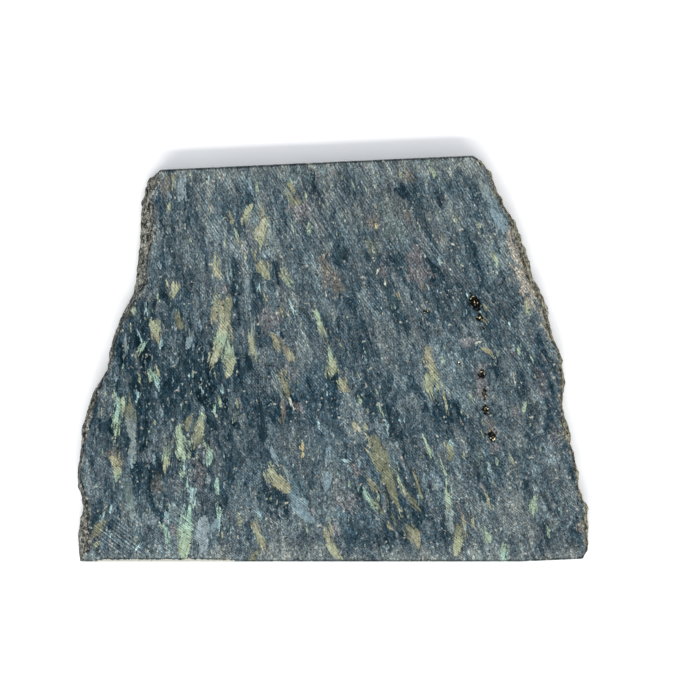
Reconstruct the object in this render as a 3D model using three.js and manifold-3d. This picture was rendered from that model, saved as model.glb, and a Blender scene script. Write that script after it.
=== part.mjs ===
// A slab of nuummite, a dark amphibole rock, sawn from a rough block and lying on its back face.
// It is one stone: two flat sawn faces, a long and a short sawn edge, and two natural broken edges.
// The front face has a few open pits, and brassy sulphide grains stand on their floors.
// Millimetres, +Z up. X runs along the long sawn edge and Y from the long edge to the short one.
// The origin is the middle of the outline, on the plane that the slab rests on.

import * as THREE from "three";
import { mergeVertices } from "three/addons/utils/BufferGeometryUtils.js";
import Module from "manifold-3d";

const THICKNESS = 6.5;
const ARRIS = 0.3; // worn corner of a sawn edge
const WIDEST_LEVEL = 2.1; // height at which the broken edges reach furthest out
const SETBACK_CURVE = 1.5; // 1 is a straight slope, more is a rounder shoulder

const RIM_STEP = 1.15; // spacing of the outline's points on the broken edges
const SAWN_STEP = 2.4; // and on the sawn edges
const CORNER_BLEND = 3; // length over which a sawn edge turns into a broken one
const LEVELS = [0, ARRIS, 1.2, WIDEST_LEVEL, 3.1, 4.2, 5.3, THICKNESS - ARRIS, THICKNESS];

const LUMP = { size: 4.6, height: 0.42, seed: 11 };
const HACKLE = { size: 1.7, height: 0.26, seed: 23 };
const LEDGE = { along: 7.5, up: 2.4, drop: 0.75, steps: 3, seed: 37 };
const SETBACK_WANDER = { size: 3.1, share: 0.3, seed: 41 };

// Broken edges: x, y, how far the front face stands back from that point, and how far the back face does.
const LEFT_RIM = [
  [-38.3, 41.9, 0.3, 0.3],
  [-40.5, 40.3, 1.7, 0.4],
  [-42.0, 35.6, 2.5, 0.3],
  [-42.8, 31.6, 2.8, 0.2],
  [-42.7, 25.9, 2.7, 0.3],
  [-43.3, 21.4, 2.1, 0.4],
  [-43.8, 16.2, 1.6, 0.5],
  [-45.3, 12.7, 0.8, 0.8],
  [-47.2, 8.2, 0.4, 1.1],
  [-48.9, 3.8, 0.4, 1.0],
  [-49.8, -1.0, 0.5, 0.8],
  [-51.9, -4.8, 0.8, 0.6],
  [-53.7, -9.0, 1.3, 0.5],
  [-54.1, -11.4, 1.1, 0.4],
  [-55.4, -15.0, 0.8, 0.4],
  [-55.4, -19.4, 0.5, 0.6],
  [-56.1, -22.8, 0.5, 0.6],
  [-56.1, -27.4, 0.6, 0.5],
  [-55.2, -31.4, 1.0, 0.4],
  [-55.9, -35.4, 1.7, 0.3],
  [-56.5, -39.0, 2.0, 0.3],
  [-56.5, -42.4, 2.1, 0.3],
  [-56.0, -44.4, 0.8, 0.3],
];
const RIGHT_RIM = [
  [54.8, -43.8, 0.3, 0.3],
  [55.8, -41.2, 0.6, 0.5],
  [55.9, -39.0, 0.6, 0.6],
  [56.6, -36.8, 0.9, 0.6],
  [55.8, -34.6, 0.8, 0.7],
  [55.8, -32.6, 0.6, 0.8],
  [54.6, -30.2, 0.5, 0.8],
  [53.9, -26.4, 0.5, 0.9],
  [53.3, -23.0, 0.6, 0.8],
  [52.6, -19.2, 0.5, 0.8],
  [51.9, -15.6, 0.6, 0.9],
  [51.0, -12.2, 0.5, 0.9],
  [51.0, -7.6, 0.6, 0.8],
  [50.4, -2.6, 0.5, 0.7],
  [49.4, 2.4, 0.6, 0.7],
  [48.2, 6.6, 0.9, 0.6],
  [47.2, 11.0, 1.1, 0.6],
  [45.7, 14.9, 1.2, 0.5],
  [43.8, 18.2, 1.1, 0.5],
  [42.8, 21.6, 1.0, 0.5],
  [41.6, 25.4, 0.9, 0.6],
  [39.9, 30.0, 0.8, 0.6],
  [38.1, 33.7, 0.7, 0.6],
  [36.2, 37.6, 0.6, 0.6],
  [34.2, 41.3, 0.6, 0.5],
  [32.7, 43.7, 0.5, 0.5],
  [30.6, 45.0, 0.3, 0.3],
];
const LONG_EDGE_BEND = [41.0, -44.4]; // the long edge is straight up to here, then rises a little
const SHORT_EDGE_BEND = [27.4, 44.9];

// Pits where grains have fallen out: centre x, y, length, width, depth, lean from Y towards X in degrees,
// and the number of grains left in it.
const PITS = [
  [31.0, 12.6, 3.6, 2.2, 0.9, 24, 3],
  [32.8, 9.6, 2.4, 1.9, 0.8, 8, 2],
  [20.4, 10.8, 1.7, 1.1, 0.5, -50, 1],
  [32.9, 7.3, 1.3, 0.9, 0.4, 15, 0],
  [32.5, -3.0, 2.5, 1.9, 0.6, -20, 2],
  [33.1, -7.2, 3.2, 1.1, 0.6, 8, 2],
  [33.4, -11.0, 2.8, 1.7, 0.7, 12, 2],
  [34.8, -16.6, 2.8, 2.0, 0.7, 30, 2],
  [27.6, -0.8, 1.2, 0.9, 0.4, 0, 0],
];
const PIT_ROUGHNESS = { size: 0.45, share: 0.3, seed: 53 }; // size is in the unit ball before scaling
const GRAIN_RADIUS = 0.38;
const GRAIN_SINK = 0.35; // share of a grain's radius that is below the pit's floor
const GRAIN_REACH = 0.5; // how far out in the pit the grains stand, as a share of its half sizes

const ROCK = new THREE.MeshStandardMaterial({ color: 0x5d6b70, roughness: 0.6, metalness: 0 });

// A repeatable number from -1 to 1 for a point of a whole-number lattice.
function latticeValue(i, j, k, seed) {
  let h = Math.imul(i, 374761393) ^ Math.imul(j, 668265263) ^ Math.imul(k, 1274126177);
  h = Math.imul(h ^ Math.imul(seed, 974634777) ^ (h >>> 13), 1103515245);
  h = Math.imul(h ^ (h >>> 15), 2246822519);
  return ((h ^ (h >>> 16)) >>> 0) / 2147483647.5 - 1;
}

// Smooth noise from -1 to 1, with one lattice cell per unit.
function noise(x, y, z, seed) {
  const cell = [x, y, z].map(Math.floor);
  const ease = [x - cell[0], y - cell[1], z - cell[2]].map((t) => t * t * (3 - 2 * t));
  let sum = 0;
  for (let corner = 0; corner < 8; corner++) {
    const step = [corner & 1, (corner >> 1) & 1, (corner >> 2) & 1];
    const weight = step.reduce((w, s, axis) => w * (s ? ease[axis] : 1 - ease[axis]), 1);
    sum += weight * latticeValue(cell[0] + step[0], cell[1] + step[1], cell[2] + step[2], seed);
  }
  return sum;
}

const smoothstep = (t) => {
  const u = Math.min(1, Math.max(0, t));
  return u * u * (3 - 2 * u);
};

// Points at even spacing along a broken edge, with its two setbacks carried along.
function rimPoints(knots) {
  const curve = new THREE.CatmullRomCurve3(
    knots.map(([x, y]) => new THREE.Vector3(x, y, 0)),
    false,
    "centripetal",
  );
  const length = curve.getLength();
  const count = Math.round(length / RIM_STEP);
  return Array.from({ length: count + 1 }, (_, i) => {
    const t = curve.getUtoTmapping(i / count);
    const at = Math.min(t * (knots.length - 1), knots.length - 1.001);
    const knot = Math.floor(at);
    const between = (column) =>
      THREE.MathUtils.lerp(knots[knot][column], knots[knot + 1][column], at - knot);
    const point = curve.getPoint(t);
    const fromCorner = Math.min(i, count - i) * (length / count);
    const broken = smoothstep(fromCorner / CORNER_BLEND);
    return { x: point.x, y: point.y, front: between(2), back: between(3), broken };
  });
}

// Points along a sawn edge through its corners, without the first and the last.
function sawnPoints(corners) {
  const points = [];
  corners.slice(1).forEach(([x1, y1], i) => {
    const [x0, y0] = corners[i];
    const count = Math.max(1, Math.round(Math.hypot(x1 - x0, y1 - y0) / SAWN_STEP));
    for (let step = 1; step <= count; step++) {
      const t = step / count;
      const [x, y] = [THREE.MathUtils.lerp(x0, x1, t), THREE.MathUtils.lerp(y0, y1, t)];
      points.push({ x, y, front: ARRIS, back: ARRIS, broken: 0 });
    }
  });
  return points.slice(0, -1);
}

// The whole outline, anticlockwise from above, with an outward direction at each point.
function outlinePoints() {
  const left = rimPoints(LEFT_RIM);
  const right = rimPoints(RIGHT_RIM);
  const corner = (point) => [point.x, point.y];
  const long = sawnPoints([corner(left.at(-1)), LONG_EDGE_BEND, corner(right[0])]);
  const short = sawnPoints([corner(right.at(-1)), SHORT_EDGE_BEND, corner(left[0])]);
  const all = [...left, ...long, ...right, ...short];
  let along = 0;
  return all.map((point, i) => {
    const before = all[(i + all.length - 1) % all.length];
    const after = all[(i + 1) % all.length];
    const run = Math.hypot(after.x - before.x, after.y - before.y);
    along += Math.hypot(point.x - before.x, point.y - before.y);
    const out = [(after.y - before.y) / run, (before.x - after.x) / run];
    return { ...point, out, along };
  });
}

// How far inside the outline the wall lies at a height: the slope of a broken edge, or a sawn edge's arris.
function setback(point, z) {
  const wander =
    1 + SETBACK_WANDER.share * noise(point.along / SETBACK_WANDER.size, 0.5, 0.5, SETBACK_WANDER.seed);
  const above = Math.max(0, (z - WIDEST_LEVEL) / (THICKNESS - WIDEST_LEVEL));
  const below = Math.max(0, (WIDEST_LEVEL - z) / WIDEST_LEVEL);
  const slope = point.front * above ** SETBACK_CURVE + point.back * below ** SETBACK_CURVE;
  const arris = z === 0 || z === THICKNESS ? ARRIS : 0;
  return THREE.MathUtils.lerp(arris, slope * wander, point.broken);
}

// Lumps, hackles and cleavage ledges of a broken edge, as a distance outwards.
function roughness(point, z) {
  const lump = LUMP.height * noise(point.x / LUMP.size, point.y / LUMP.size, z / LUMP.size, LUMP.seed);
  const hackle =
    HACKLE.height * noise(point.x / HACKLE.size, point.y / HACKLE.size, z / HACKLE.size, HACKLE.seed);
  const level = (noise(point.along / LEDGE.along, z / LEDGE.up, 0.5, LEDGE.seed) + 1) / 2;
  const ledge = LEDGE.drop * (0.5 - Math.round(level * LEDGE.steps) / LEDGE.steps);
  return point.broken * (lump + hackle + ledge);
}

// The slab without its pits: rings of points from the back face to the front, closed by two flat faces.
function blankGeometry() {
  const outline = outlinePoints();
  const count = outline.length;
  const positions = LEVELS.flatMap((z) =>
    outline.flatMap((point) => {
      const reach = roughness(point, z) - setback(point, z);
      return [point.x + point.out[0] * reach, point.y + point.out[1] * reach, z];
    }),
  );
  const index = [];
  for (let ring = 0; ring + 1 < LEVELS.length; ring++) {
    for (let i = 0; i < count; i++) {
      const [a, b] = [ring * count + i, ring * count + ((i + 1) % count)];
      const [c, d] = [a + count, b + count];
      index.push(...((ring + i) % 2 ? [a, b, c, b, d, c] : [a, b, d, a, d, c]));
    }
  }
  const top = (LEVELS.length - 1) * count;
  const flat = (start) =>
    Array.from({ length: count }, (_, i) => {
      const at = (start + i) * 3;
      return new THREE.Vector2(positions[at], positions[at + 1]);
    });
  THREE.ShapeUtils.triangulateShape(flat(top), []).forEach(([a, b, c]) =>
    index.push(top + a, top + b, top + c),
  );
  THREE.ShapeUtils.triangulateShape(flat(0), []).forEach(([a, b, c]) => index.push(a, c, b));
  const geometry = new THREE.BufferGeometry();
  geometry.setAttribute("position", new THREE.Float32BufferAttribute(positions, 3));
  geometry.setIndex(index);
  return geometry;
}

// The hollow of one pit, as a rough ball stretched to the pit's sizes and centred on the front face.
function pitGeometry([x, y, length, width, depth, lean], number) {
  const ball = new THREE.IcosahedronGeometry(1, 3);
  const place = ball.getAttribute("position");
  for (let i = 0; i < place.count; i++) {
    const v = new THREE.Vector3().fromBufferAttribute(place, i);
    const at = v.clone().divideScalar(PIT_ROUGHNESS.size).addScalar(number * 7);
    v.multiplyScalar(1 + PIT_ROUGHNESS.share * noise(at.x, at.y, at.z, PIT_ROUGHNESS.seed));
    place.setXYZ(i, v.x, v.y, v.z);
  }
  return ball
    .scale(width / 2, length / 2, depth)
    .rotateZ(-THREE.MathUtils.degToRad(lean))
    .translate(x, y, THICKNESS);
}

// The sulphide grains of one pit: small octahedra, each turned its own way, standing in the floor.
function grainGeometries([x, y, length, width, depth, lean, grains], number) {
  return Array.from({ length: grains }, (_, i) => {
    const share = grains > 1 ? (2 * i) / (grains - 1) - 1 : 0;
    const across = 0.4 * latticeValue(number, i, 5, PIT_ROUGHNESS.seed);
    const place = new THREE.Vector3(
      (across * width * GRAIN_REACH) / 2,
      (share * length * GRAIN_REACH) / 2,
      0,
    ).applyAxisAngle(new THREE.Vector3(0, 0, 1), -THREE.MathUtils.degToRad(lean));
    const floor = THICKNESS - depth * Math.sqrt(1 - (share * GRAIN_REACH) ** 2);
    return new THREE.OctahedronGeometry(GRAIN_RADIUS, 0)
      .rotateX(number + i)
      .rotateY(2 * i + number)
      .translate(x + place.x, y + place.y, floor + GRAIN_RADIUS * (0.5 - GRAIN_SINK));
  });
}

const wasm = await Module();
wasm.setup();

function solidFrom(geometry) {
  const bare = geometry.clone();
  bare.deleteAttribute("normal");
  bare.deleteAttribute("uv");
  const merged = mergeVertices(bare, 1e-4);
  return new wasm.Manifold(
    new wasm.Mesh({
      numProp: 3,
      vertProperties: new Float32Array(merged.getAttribute("position").array),
      triVerts: new Uint32Array(merged.index.array),
    }),
  );
}

function geometryFrom(solid) {
  const { vertProperties, triVerts } = solid.getMesh();
  const geometry = new THREE.BufferGeometry();
  geometry.setAttribute("position", new THREE.Float32BufferAttribute(vertProperties, 3));
  geometry.setIndex(new THREE.BufferAttribute(triVerts, 1));
  geometry.computeVertexNormals();
  return geometry;
}

function slabMesh() {
  let solid = solidFrom(blankGeometry());
  for (const [number, pit] of PITS.entries()) {
    solid = solid.subtract(solidFrom(pitGeometry(pit, number)));
  }
  for (const [number, pit] of PITS.entries()) {
    for (const grain of grainGeometries(pit, number)) {
      solid = solid.add(solidFrom(grain));
    }
  }
  const geometry = geometryFrom(solid);
  geometry.computeBoundingBox();
  const middle = geometry.boundingBox.getCenter(new THREE.Vector3());
  geometry.translate(-middle.x, -middle.y, 0);
  const mesh = new THREE.Mesh(geometry, ROCK);
  mesh.name = "nuummite_slab";
  return mesh;
}

const slab = new THREE.Group();
slab.add(slabMesh());

export default slab;
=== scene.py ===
"""Looks of a nuummite slab: its sawn faces, broken edges, mineral blades, pits and sulphide grains."""

import logging
import math
from collections.abc import Iterable
from dataclasses import dataclass
from enum import Enum
from typing import NamedTuple

import bmesh
import bpy
import numpy as np
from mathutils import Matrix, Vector
from mathutils.geometry import delaunay_2d_cdt
from mathutils.kdtree import KDTree


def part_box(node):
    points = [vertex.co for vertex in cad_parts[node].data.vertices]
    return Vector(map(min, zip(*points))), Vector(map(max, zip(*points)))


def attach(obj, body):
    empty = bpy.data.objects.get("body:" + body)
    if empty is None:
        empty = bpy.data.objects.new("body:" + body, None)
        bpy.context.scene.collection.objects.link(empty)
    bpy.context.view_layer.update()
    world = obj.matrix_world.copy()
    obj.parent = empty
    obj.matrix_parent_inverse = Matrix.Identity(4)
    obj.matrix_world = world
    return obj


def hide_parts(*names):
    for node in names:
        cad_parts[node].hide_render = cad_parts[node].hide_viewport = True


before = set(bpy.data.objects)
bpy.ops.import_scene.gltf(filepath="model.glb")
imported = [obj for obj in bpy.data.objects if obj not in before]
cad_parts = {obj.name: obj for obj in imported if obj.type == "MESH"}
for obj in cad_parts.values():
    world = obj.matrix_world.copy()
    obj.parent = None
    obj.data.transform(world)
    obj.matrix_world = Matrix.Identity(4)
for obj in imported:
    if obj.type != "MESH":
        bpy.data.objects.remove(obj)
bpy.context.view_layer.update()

LOG = logging.getLogger("nuummite_slab")
MM = 0.001
NODE = "nuummite_slab"
LOW, HIGH = (np.array(corner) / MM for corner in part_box(NODE))
TOP = float(HIGH[2])
LONG_EDGE_Y = float(LOW[1])
SHORT_EDGE_Y = 43.0

Tree = bpy.types.NodeTree
Socket = bpy.types.NodeSocket
Layer = tuple[Socket, float]
Ramp = tuple[tuple[float, str], ...]

ATTRIBUTE = "ShaderNodeAttribute"
RANGE = "ShaderNodeMapRange"
MATH = "ShaderNodeMath"
MIX = "ShaderNodeMix"
VECTOR_MATH = "ShaderNodeVectorMath"

RGBA = {"data_type": "RGBA"}
SMOOTH = {"interpolation_type": "SMOOTHSTEP"}
EXPONENT = {"operation": "EXPONENT"}
LESS_THAN = {"operation": "LESS_THAN"}
MAXIMUM = {"operation": "MAXIMUM"}
MULTIPLY = {"operation": "MULTIPLY"}
MULTIPLY_ADD = {"operation": "MULTIPLY_ADD"}
SCALE = {"operation": "SCALE"}
SUBTRACT = {"operation": "SUBTRACT"}

# Socket numbers of a Mix node, whose sockets for numbers and for colours share their names.
SHARE, FIRST, SECOND = 0, 2, 3
UNDER, OVER, MIXED = 6, 7, 2

# What the triangulation keeps: everything between the points, or only what lies inside the outline.
HULL, INSIDE = 0, 1
MERGE = 1e-6

# A wave texture repeats this many times in a length of tau.
WAVES_IN_TAU = 20

# Large odd numbers that scramble a lattice point into a number without a pattern, and half their range.
SCRAMBLE_I, SCRAMBLE_J, SCRAMBLE_K = np.uint32(374761393), np.uint32(668265263), np.uint32(1274126177)
SCRAMBLE_SEED, SCRAMBLE_TWICE, SCRAMBLE_LAST = 7919, np.uint32(1103515245), np.uint32(2246822519)
HALF_RANGE = 2147483647.5


def linear(colour: str) -> tuple[float, float, float, float]:
    """Turn an sRGB hex colour to linear light.

    Args:
        colour: six hex digits after a hash sign.

    Returns:
        Red, green, blue and an alpha of 1.
    """
    shares = [int(colour[i : i + 2], 16) / 255 for i in (1, 3, 5)]
    light = [s / 12.92 if s <= 0.04045 else ((s + 0.055) / 1.055) ** 2.4 for s in shares]
    return (*light, 1.0)


class Tint(Enum):
    """Colours of the slab's minerals and of its weathered skin. Cream also paints glints and the highlight
    on the bevel.
    """

    STRAW = "#888d73"
    GOLD = "#828169"
    PALE_GOLD = "#92937a"
    BRASSY = "#b2a980"
    OLIVE = "#666955"
    BROWN = "#636058"
    ROSE = "#706e6d"
    LILAC = "#768385"
    PALE_GREEN = "#879880"
    MINT = "#839e8e"
    ICE = "#88a2a0"
    SKY = "#6d7f84"
    TEAL = "#50666b"
    GREY = "#6d7876"
    MOSS = "#515f5c"
    NAVY = "#22363e"
    INK = "#10242d"
    DEEP = "#2d3e43"
    RIND = "#847f73"
    CREAM = "#acac9e"


class Blade(NamedTuple):
    """A mineral blade in the front face, in millimetres.

    Lean is in degrees from the slab's Y axis, positive where the foot lies further along X.
    """

    x: float
    y: float
    length: float
    width: float
    lean: float
    head: Tint
    foot: Tint | None = None
    taper: float = 0.0


class Patch(NamedTuple):
    """A soft-edged stain or cluster of one tint, in millimetres and degrees, with its strength."""

    x: float
    y: float
    length: float
    width: float
    lean: float
    tint: Tint
    strength: float = 0.7


class Zone(NamedTuple):
    """A broad area that is lighter or darker, warmer or cooler, richer in flecks, or scored by the saw."""

    x: float
    y: float
    reach: float
    tone: float
    warmth: float = 0.0
    flecks: float = 0.0
    scored: float = 0.0


class Pit(NamedTuple):
    """An open hollow in the front face, in millimetres and degrees."""

    x: float
    y: float
    length: float
    width: float
    depth: float
    lean: float


# The blades that the eye picks out.
BLADES = (
    Blade(-35.2, 38.2, 5.6, 0.7, 2, Tint.GOLD),
    Blade(-36.2, 33.0, 3.1, 0.6, -8, Tint.STRAW),
    Blade(-33.5, 37.8, 6.4, 1.7, 3, Tint.LILAC),
    Blade(-26.4, 33.1, 2.2, 1.5, 20, Tint.ROSE),
    Blade(-22.5, 31.0, 3.6, 0.6, 12, Tint.GOLD),
    Blade(-21.3, 27.6, 2.6, 0.7, 18, Tint.PALE_GREEN),
    Blade(-20.8, 26.0, 3.2, 0.5, 22, Tint.GOLD),
    Blade(-19.0, 31.6, 4.6, 1.3, -9, Tint.STRAW, Tint.PALE_GOLD),
    Blade(-18.0, 37.5, 4.6, 0.9, 20, Tint.SKY),
    Blade(-16.7, 37.5, 2.6, 0.5, 8, Tint.PALE_GREEN),
    Blade(-16.0, 33.0, 5.0, 1.2, 18, Tint.GREY, Tint.GOLD),
    Blade(-15.7, 27.3, 7.4, 2.5, -6, Tint.PALE_GOLD, Tint.STRAW),
    Blade(-14.2, 29.5, 2.4, 0.9, 20, Tint.ICE),
    Blade(-13.5, 27.5, 3.8, 1.5, 8, Tint.GREY),
    Blade(-10.2, 36.7, 8.0, 1.5, 38, Tint.GREY, Tint.OLIVE),
    Blade(-9.0, 37.5, 2.8, 1.2, 22, Tint.GOLD),
    Blade(-4.1, 37.8, 6.2, 1.1, 3, Tint.INK, Tint.INK, 0.5),
    Blade(-25.8, 20.6, 5.6, 1.4, 3, Tint.STRAW, Tint.PALE_GOLD),
    Blade(-22.4, 18.2, 3.4, 0.5, 0, Tint.ICE),
    Blade(-21.9, 19.4, 6.6, 0.6, 2, Tint.NAVY),
    Blade(-15.3, 19.8, 4.6, 2.1, 8, Tint.GOLD, Tint.STRAW),
    Blade(-12.4, 19.0, 6.6, 1.0, 12, Tint.INK),
    Blade(-10.2, 17.5, 5.4, 1.2, 27, Tint.STRAW, Tint.PALE_GREEN, 0.5),
    Blade(-35.0, 15.5, 3.8, 1.9, 6, Tint.PALE_GOLD, Tint.STRAW),
    Blade(-44.0, 10.5, 3.0, 1.1, 6, Tint.PALE_GREEN),
    Blade(-41.0, 10.5, 3.6, 0.5, 2, Tint.ICE),
    Blade(-38.1, 21.0, 2.4, 0.7, 0, Tint.SKY),
    Blade(-26.0, 11.6, 7.4, 1.2, 1, Tint.STRAW, Tint.GOLD),
    Blade(-24.6, 10.0, 6.8, 1.7, 0, Tint.GOLD, Tint.STRAW),
    Blade(-23.2, 9.2, 9.8, 1.6, 1, Tint.OLIVE, Tint.GOLD),
    Blade(-24.5, 5.6, 6.4, 3.0, 2, Tint.PALE_GOLD, Tint.PALE_GREEN, -0.1),
    Blade(-26.1, 0.4, 7.0, 1.9, -19, Tint.STRAW, Tint.PALE_GOLD, 0.5),
    Blade(-22.9, 0.4, 8.4, 2.4, 7, Tint.PALE_GREEN, Tint.STRAW, -0.2),
    Blade(-18.0, 5.6, 9.8, 1.2, 3, Tint.GREY, Tint.STRAW, -0.2),
    Blade(-19.0, 14.6, 6.2, 0.9, 2, Tint.SKY),
    Blade(-16.0, 15.4, 2.2, 0.9, 10, Tint.ICE),
    Blade(-15.0, 13.5, 3.0, 0.6, 18, Tint.STRAW),
    Blade(-11.3, 10.4, 2.6, 0.9, 16, Tint.GOLD),
    Blade(-9.0, 11.2, 4.8, 0.6, 24, Tint.ICE),
    Blade(-2.6, 7.3, 9.2, 1.0, 22, Tint.PALE_GREEN, Tint.STRAW),
    Blade(-12.3, 3.2, 5.6, 1.1, 18, Tint.GOLD),
    Blade(-10.2, 2.0, 6.8, 1.4, 24, Tint.BROWN, Tint.GOLD),
    Blade(-1.5, 14.3, 1.5, 0.5, 0, Tint.CREAM),
    Blade(-38.9, 5.6, 6.0, 1.8, 8, Tint.STRAW, Tint.GOLD),
    Blade(-33.9, 8.8, 4.8, 1.3, 4, Tint.OLIVE),
    Blade(-31.6, 4.5, 4.4, 1.3, 2, Tint.GREY, Tint.SKY),
    Blade(-42.2, 2.1, 3.8, 0.9, -24, Tint.MINT, Tint.PALE_GREEN),
    Blade(-42.5, 4.9, 4.0, 0.4, 22, Tint.ICE),
    Blade(-45.5, 3.0, 5.4, 0.8, 0, Tint.GREY),
    Blade(-40.5, -3.4, 3.4, 0.8, 16, Tint.PALE_GREEN),
    Blade(-38.7, -2.5, 2.8, 1.0, 10, Tint.STRAW),
    Blade(-38.8, -5.4, 5.0, 0.9, 16, Tint.MINT, Tint.ICE),
    Blade(-29.0, -6.5, 3.4, 0.5, 14, Tint.ICE),
    Blade(-42.8, -8.4, 3.8, 0.5, -22, Tint.ICE),
    Blade(-25.1, -8.9, 3.2, 1.0, 2, Tint.PALE_GREEN),
    Blade(-26.1, -10.9, 2.8, 0.5, -4, Tint.MINT),
    Blade(-47.7, -13.5, 10.4, 1.2, -4, Tint.MINT, Tint.PALE_GREEN),
    Blade(-46.2, -10.8, 4.6, 1.1, 4, Tint.PALE_GREEN, Tint.STRAW),
    Blade(-44.6, -12.8, 10.6, 1.9, 3, Tint.OLIVE, Tint.GREY),
    Blade(-44.2, -21.4, 6.8, 1.5, 1, Tint.GREY, Tint.SKY),
    Blade(-47.7, -25.0, 6.6, 1.5, 1, Tint.GOLD, Tint.PALE_GREEN, 0.7),
    Blade(-36.7, -21.9, 6.8, 1.1, -4, Tint.PALE_GREEN, Tint.STRAW),
    Blade(-33.4, -19.2, 9.0, 1.8, 15, Tint.PALE_GREEN, Tint.PALE_GREEN, 0.2),
    Blade(-31.8, -14.4, 3.8, 1.8, 0, Tint.OLIVE),
    Blade(-29.0, -13.5, 3.6, 1.2, -12, Tint.PALE_GREEN),
    Blade(-29.8, -17.0, 8.0, 1.7, -17, Tint.STRAW, Tint.OLIVE),
    Blade(-27.2, -20.4, 5.6, 1.1, 7, Tint.PALE_GREEN, Tint.MINT, -0.5),
    Blade(-32.6, -24.2, 2.6, 0.6, 4, Tint.ICE),
    Blade(-32.1, -28.0, 3.6, 0.6, 2, Tint.MINT),
    Blade(-31.0, -30.5, 4.4, 1.0, -6, Tint.ICE),
    Blade(-32.3, -37.9, 12.6, 2.7, -11, Tint.MINT, Tint.PALE_GREEN, -0.3),
    Blade(-28.6, -39.5, 8.6, 3.2, 12, Tint.LILAC),
    Blade(-26.0, -37.2, 3.0, 1.7, 0, Tint.SKY),
    Blade(-25.1, -35.2, 6.2, 0.8, 2, Tint.MINT, Tint.ICE),
    Blade(-25.5, -28.5, 4.6, 0.8, 4, Tint.MINT),
    Blade(-27.5, -27.0, 2.4, 1.1, 4, Tint.GREY),
    Blade(-37.6, -31.7, 2.8, 0.6, -6, Tint.SKY),
    Blade(-36.5, -35.2, 3.4, 0.7, 3, Tint.ICE),
    Blade(-36.5, -39.5, 5.0, 0.9, 3, Tint.MINT),
    Blade(-42.8, -41.0, 3.4, 0.7, -26, Tint.ICE),
    Blade(-44.6, -32.4, 10.8, 1.9, 5, Tint.MOSS, Tint.GREY),
    Blade(-50.8, -35.2, 5.4, 0.8, -20, Tint.ICE, Tint.SKY),
    Blade(-52.4, -38.8, 8.0, 1.6, -30, Tint.OLIVE, Tint.BROWN),
    Blade(-48.8, -33.5, 2.0, 0.7, -8, Tint.ICE),
    Blade(-52.0, -41.0, 2.0, 0.8, -24, Tint.STRAW),
    Blade(-12.3, -26.2, 8.0, 2.7, 28, Tint.STRAW, Tint.GOLD, -0.2),
    Blade(-10.2, -25.8, 5.4, 0.9, 18, Tint.GREY),
    Blade(-12.8, -21.9, 5.6, 0.9, 20, Tint.SKY),
    Blade(-7.8, -30.4, 11.4, 3.2, 17, Tint.TEAL, Tint.SKY),
    Blade(-6.8, -19.9, 4.2, 0.6, 8, Tint.BRASSY),
    Blade(-18.2, -1.2, 5.0, 1.2, 28, Tint.INK),
    Blade(-15.9, -10.6, 17.6, 1.3, 6, Tint.INK, Tint.INK),
    Blade(-10.8, -5.4, 8.0, 1.3, 15, Tint.GOLD, Tint.OLIVE),
    Blade(-12.8, -5.4, 5.4, 1.1, 16, Tint.GREY),
    Blade(-11.0, -11.6, 6.0, 1.0, 2, Tint.BROWN),
    Blade(-9.0, -10.0, 3.6, 0.4, 20, Tint.CREAM),
    Blade(-0.4, -0.2, 7.0, 1.7, 12, Tint.PALE_GREEN, Tint.STRAW),
    Blade(1.6, 3.2, 3.4, 0.6, 22, Tint.PALE_GOLD),
    Blade(-16.9, -37.4, 4.2, 1.2, 16, Tint.GOLD),
    Blade(-16.0, -40.2, 4.4, 1.6, 10, Tint.STRAW, Tint.GOLD, 0.3),
    Blade(-0.7, -40.2, 8.2, 1.8, 19, Tint.GOLD, Tint.STRAW),
    Blade(-17.4, -43.7, 2.2, 2.0, 0, Tint.OLIVE),
    Blade(2.2, -5.8, 3.6, 2.0, 24, Tint.STRAW, Tint.GOLD),
    Blade(4.8, -14.5, 3.0, 1.4, 12, Tint.PALE_GOLD),
    Blade(7.0, -14.5, 2.2, 1.0, 4, Tint.STRAW),
    Blade(7.5, -17.5, 5.0, 0.5, 22, Tint.PALE_GOLD),
    Blade(11.6, -25.0, 17.6, 3.0, 22, Tint.OLIVE, Tint.OLIVE, 0.1),
    Blade(8.4, -21.9, 5.4, 0.8, 30, Tint.STRAW),
    Blade(14.7, -26.9, 7.8, 0.7, 22, Tint.PALE_GREEN, Tint.STRAW),
    Blade(8.4, -26.9, 4.8, 1.1, 28, Tint.PALE_GOLD, Tint.OLIVE),
    Blade(8.2, -31.4, 7.0, 0.9, 30, Tint.MINT, Tint.PALE_GREEN),
    Blade(10.0, -32.2, 4.6, 0.8, 28, Tint.OLIVE),
    Blade(14.5, -33.0, 4.0, 0.8, 22, Tint.STRAW),
    Blade(12.3, -36.5, 2.4, 1.0, 10, Tint.GOLD),
    Blade(17.5, -38.4, 6.0, 2.4, 37, Tint.OLIVE, Tint.GOLD, -0.3),
    Blade(21.0, -19.9, 7.2, 0.5, 22, Tint.PALE_GREEN),
    Blade(18.6, -27.4, 8.0, 0.8, 19, Tint.GOLD, Tint.OLIVE),
    Blade(17.8, -31.9, 5.6, 1.0, 40, Tint.OLIVE),
    Blade(23.8, -22.9, 6.4, 0.6, 20, Tint.PALE_GREEN),
    Blade(25.7, -19.9, 4.4, 1.4, 16, Tint.STRAW, Tint.OLIVE),
    Blade(25.4, -32.4, 12.4, 1.6, 5, Tint.PALE_GREEN, Tint.GREY),
    Blade(27.5, -39.0, 8.0, 2.2, 4, Tint.OLIVE, Tint.STRAW, -0.6),
    Blade(28.6, -35.4, 8.6, 0.7, 14, Tint.BROWN, Tint.GOLD),
    Blade(30.9, -36.0, 2.6, 1.2, 8, Tint.GOLD),
    Blade(34.0, -30.9, 5.4, 0.7, 17, Tint.STRAW, Tint.GOLD),
    Blade(34.0, -38.8, 4.0, 1.1, 22, Tint.PALE_GREEN),
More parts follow.
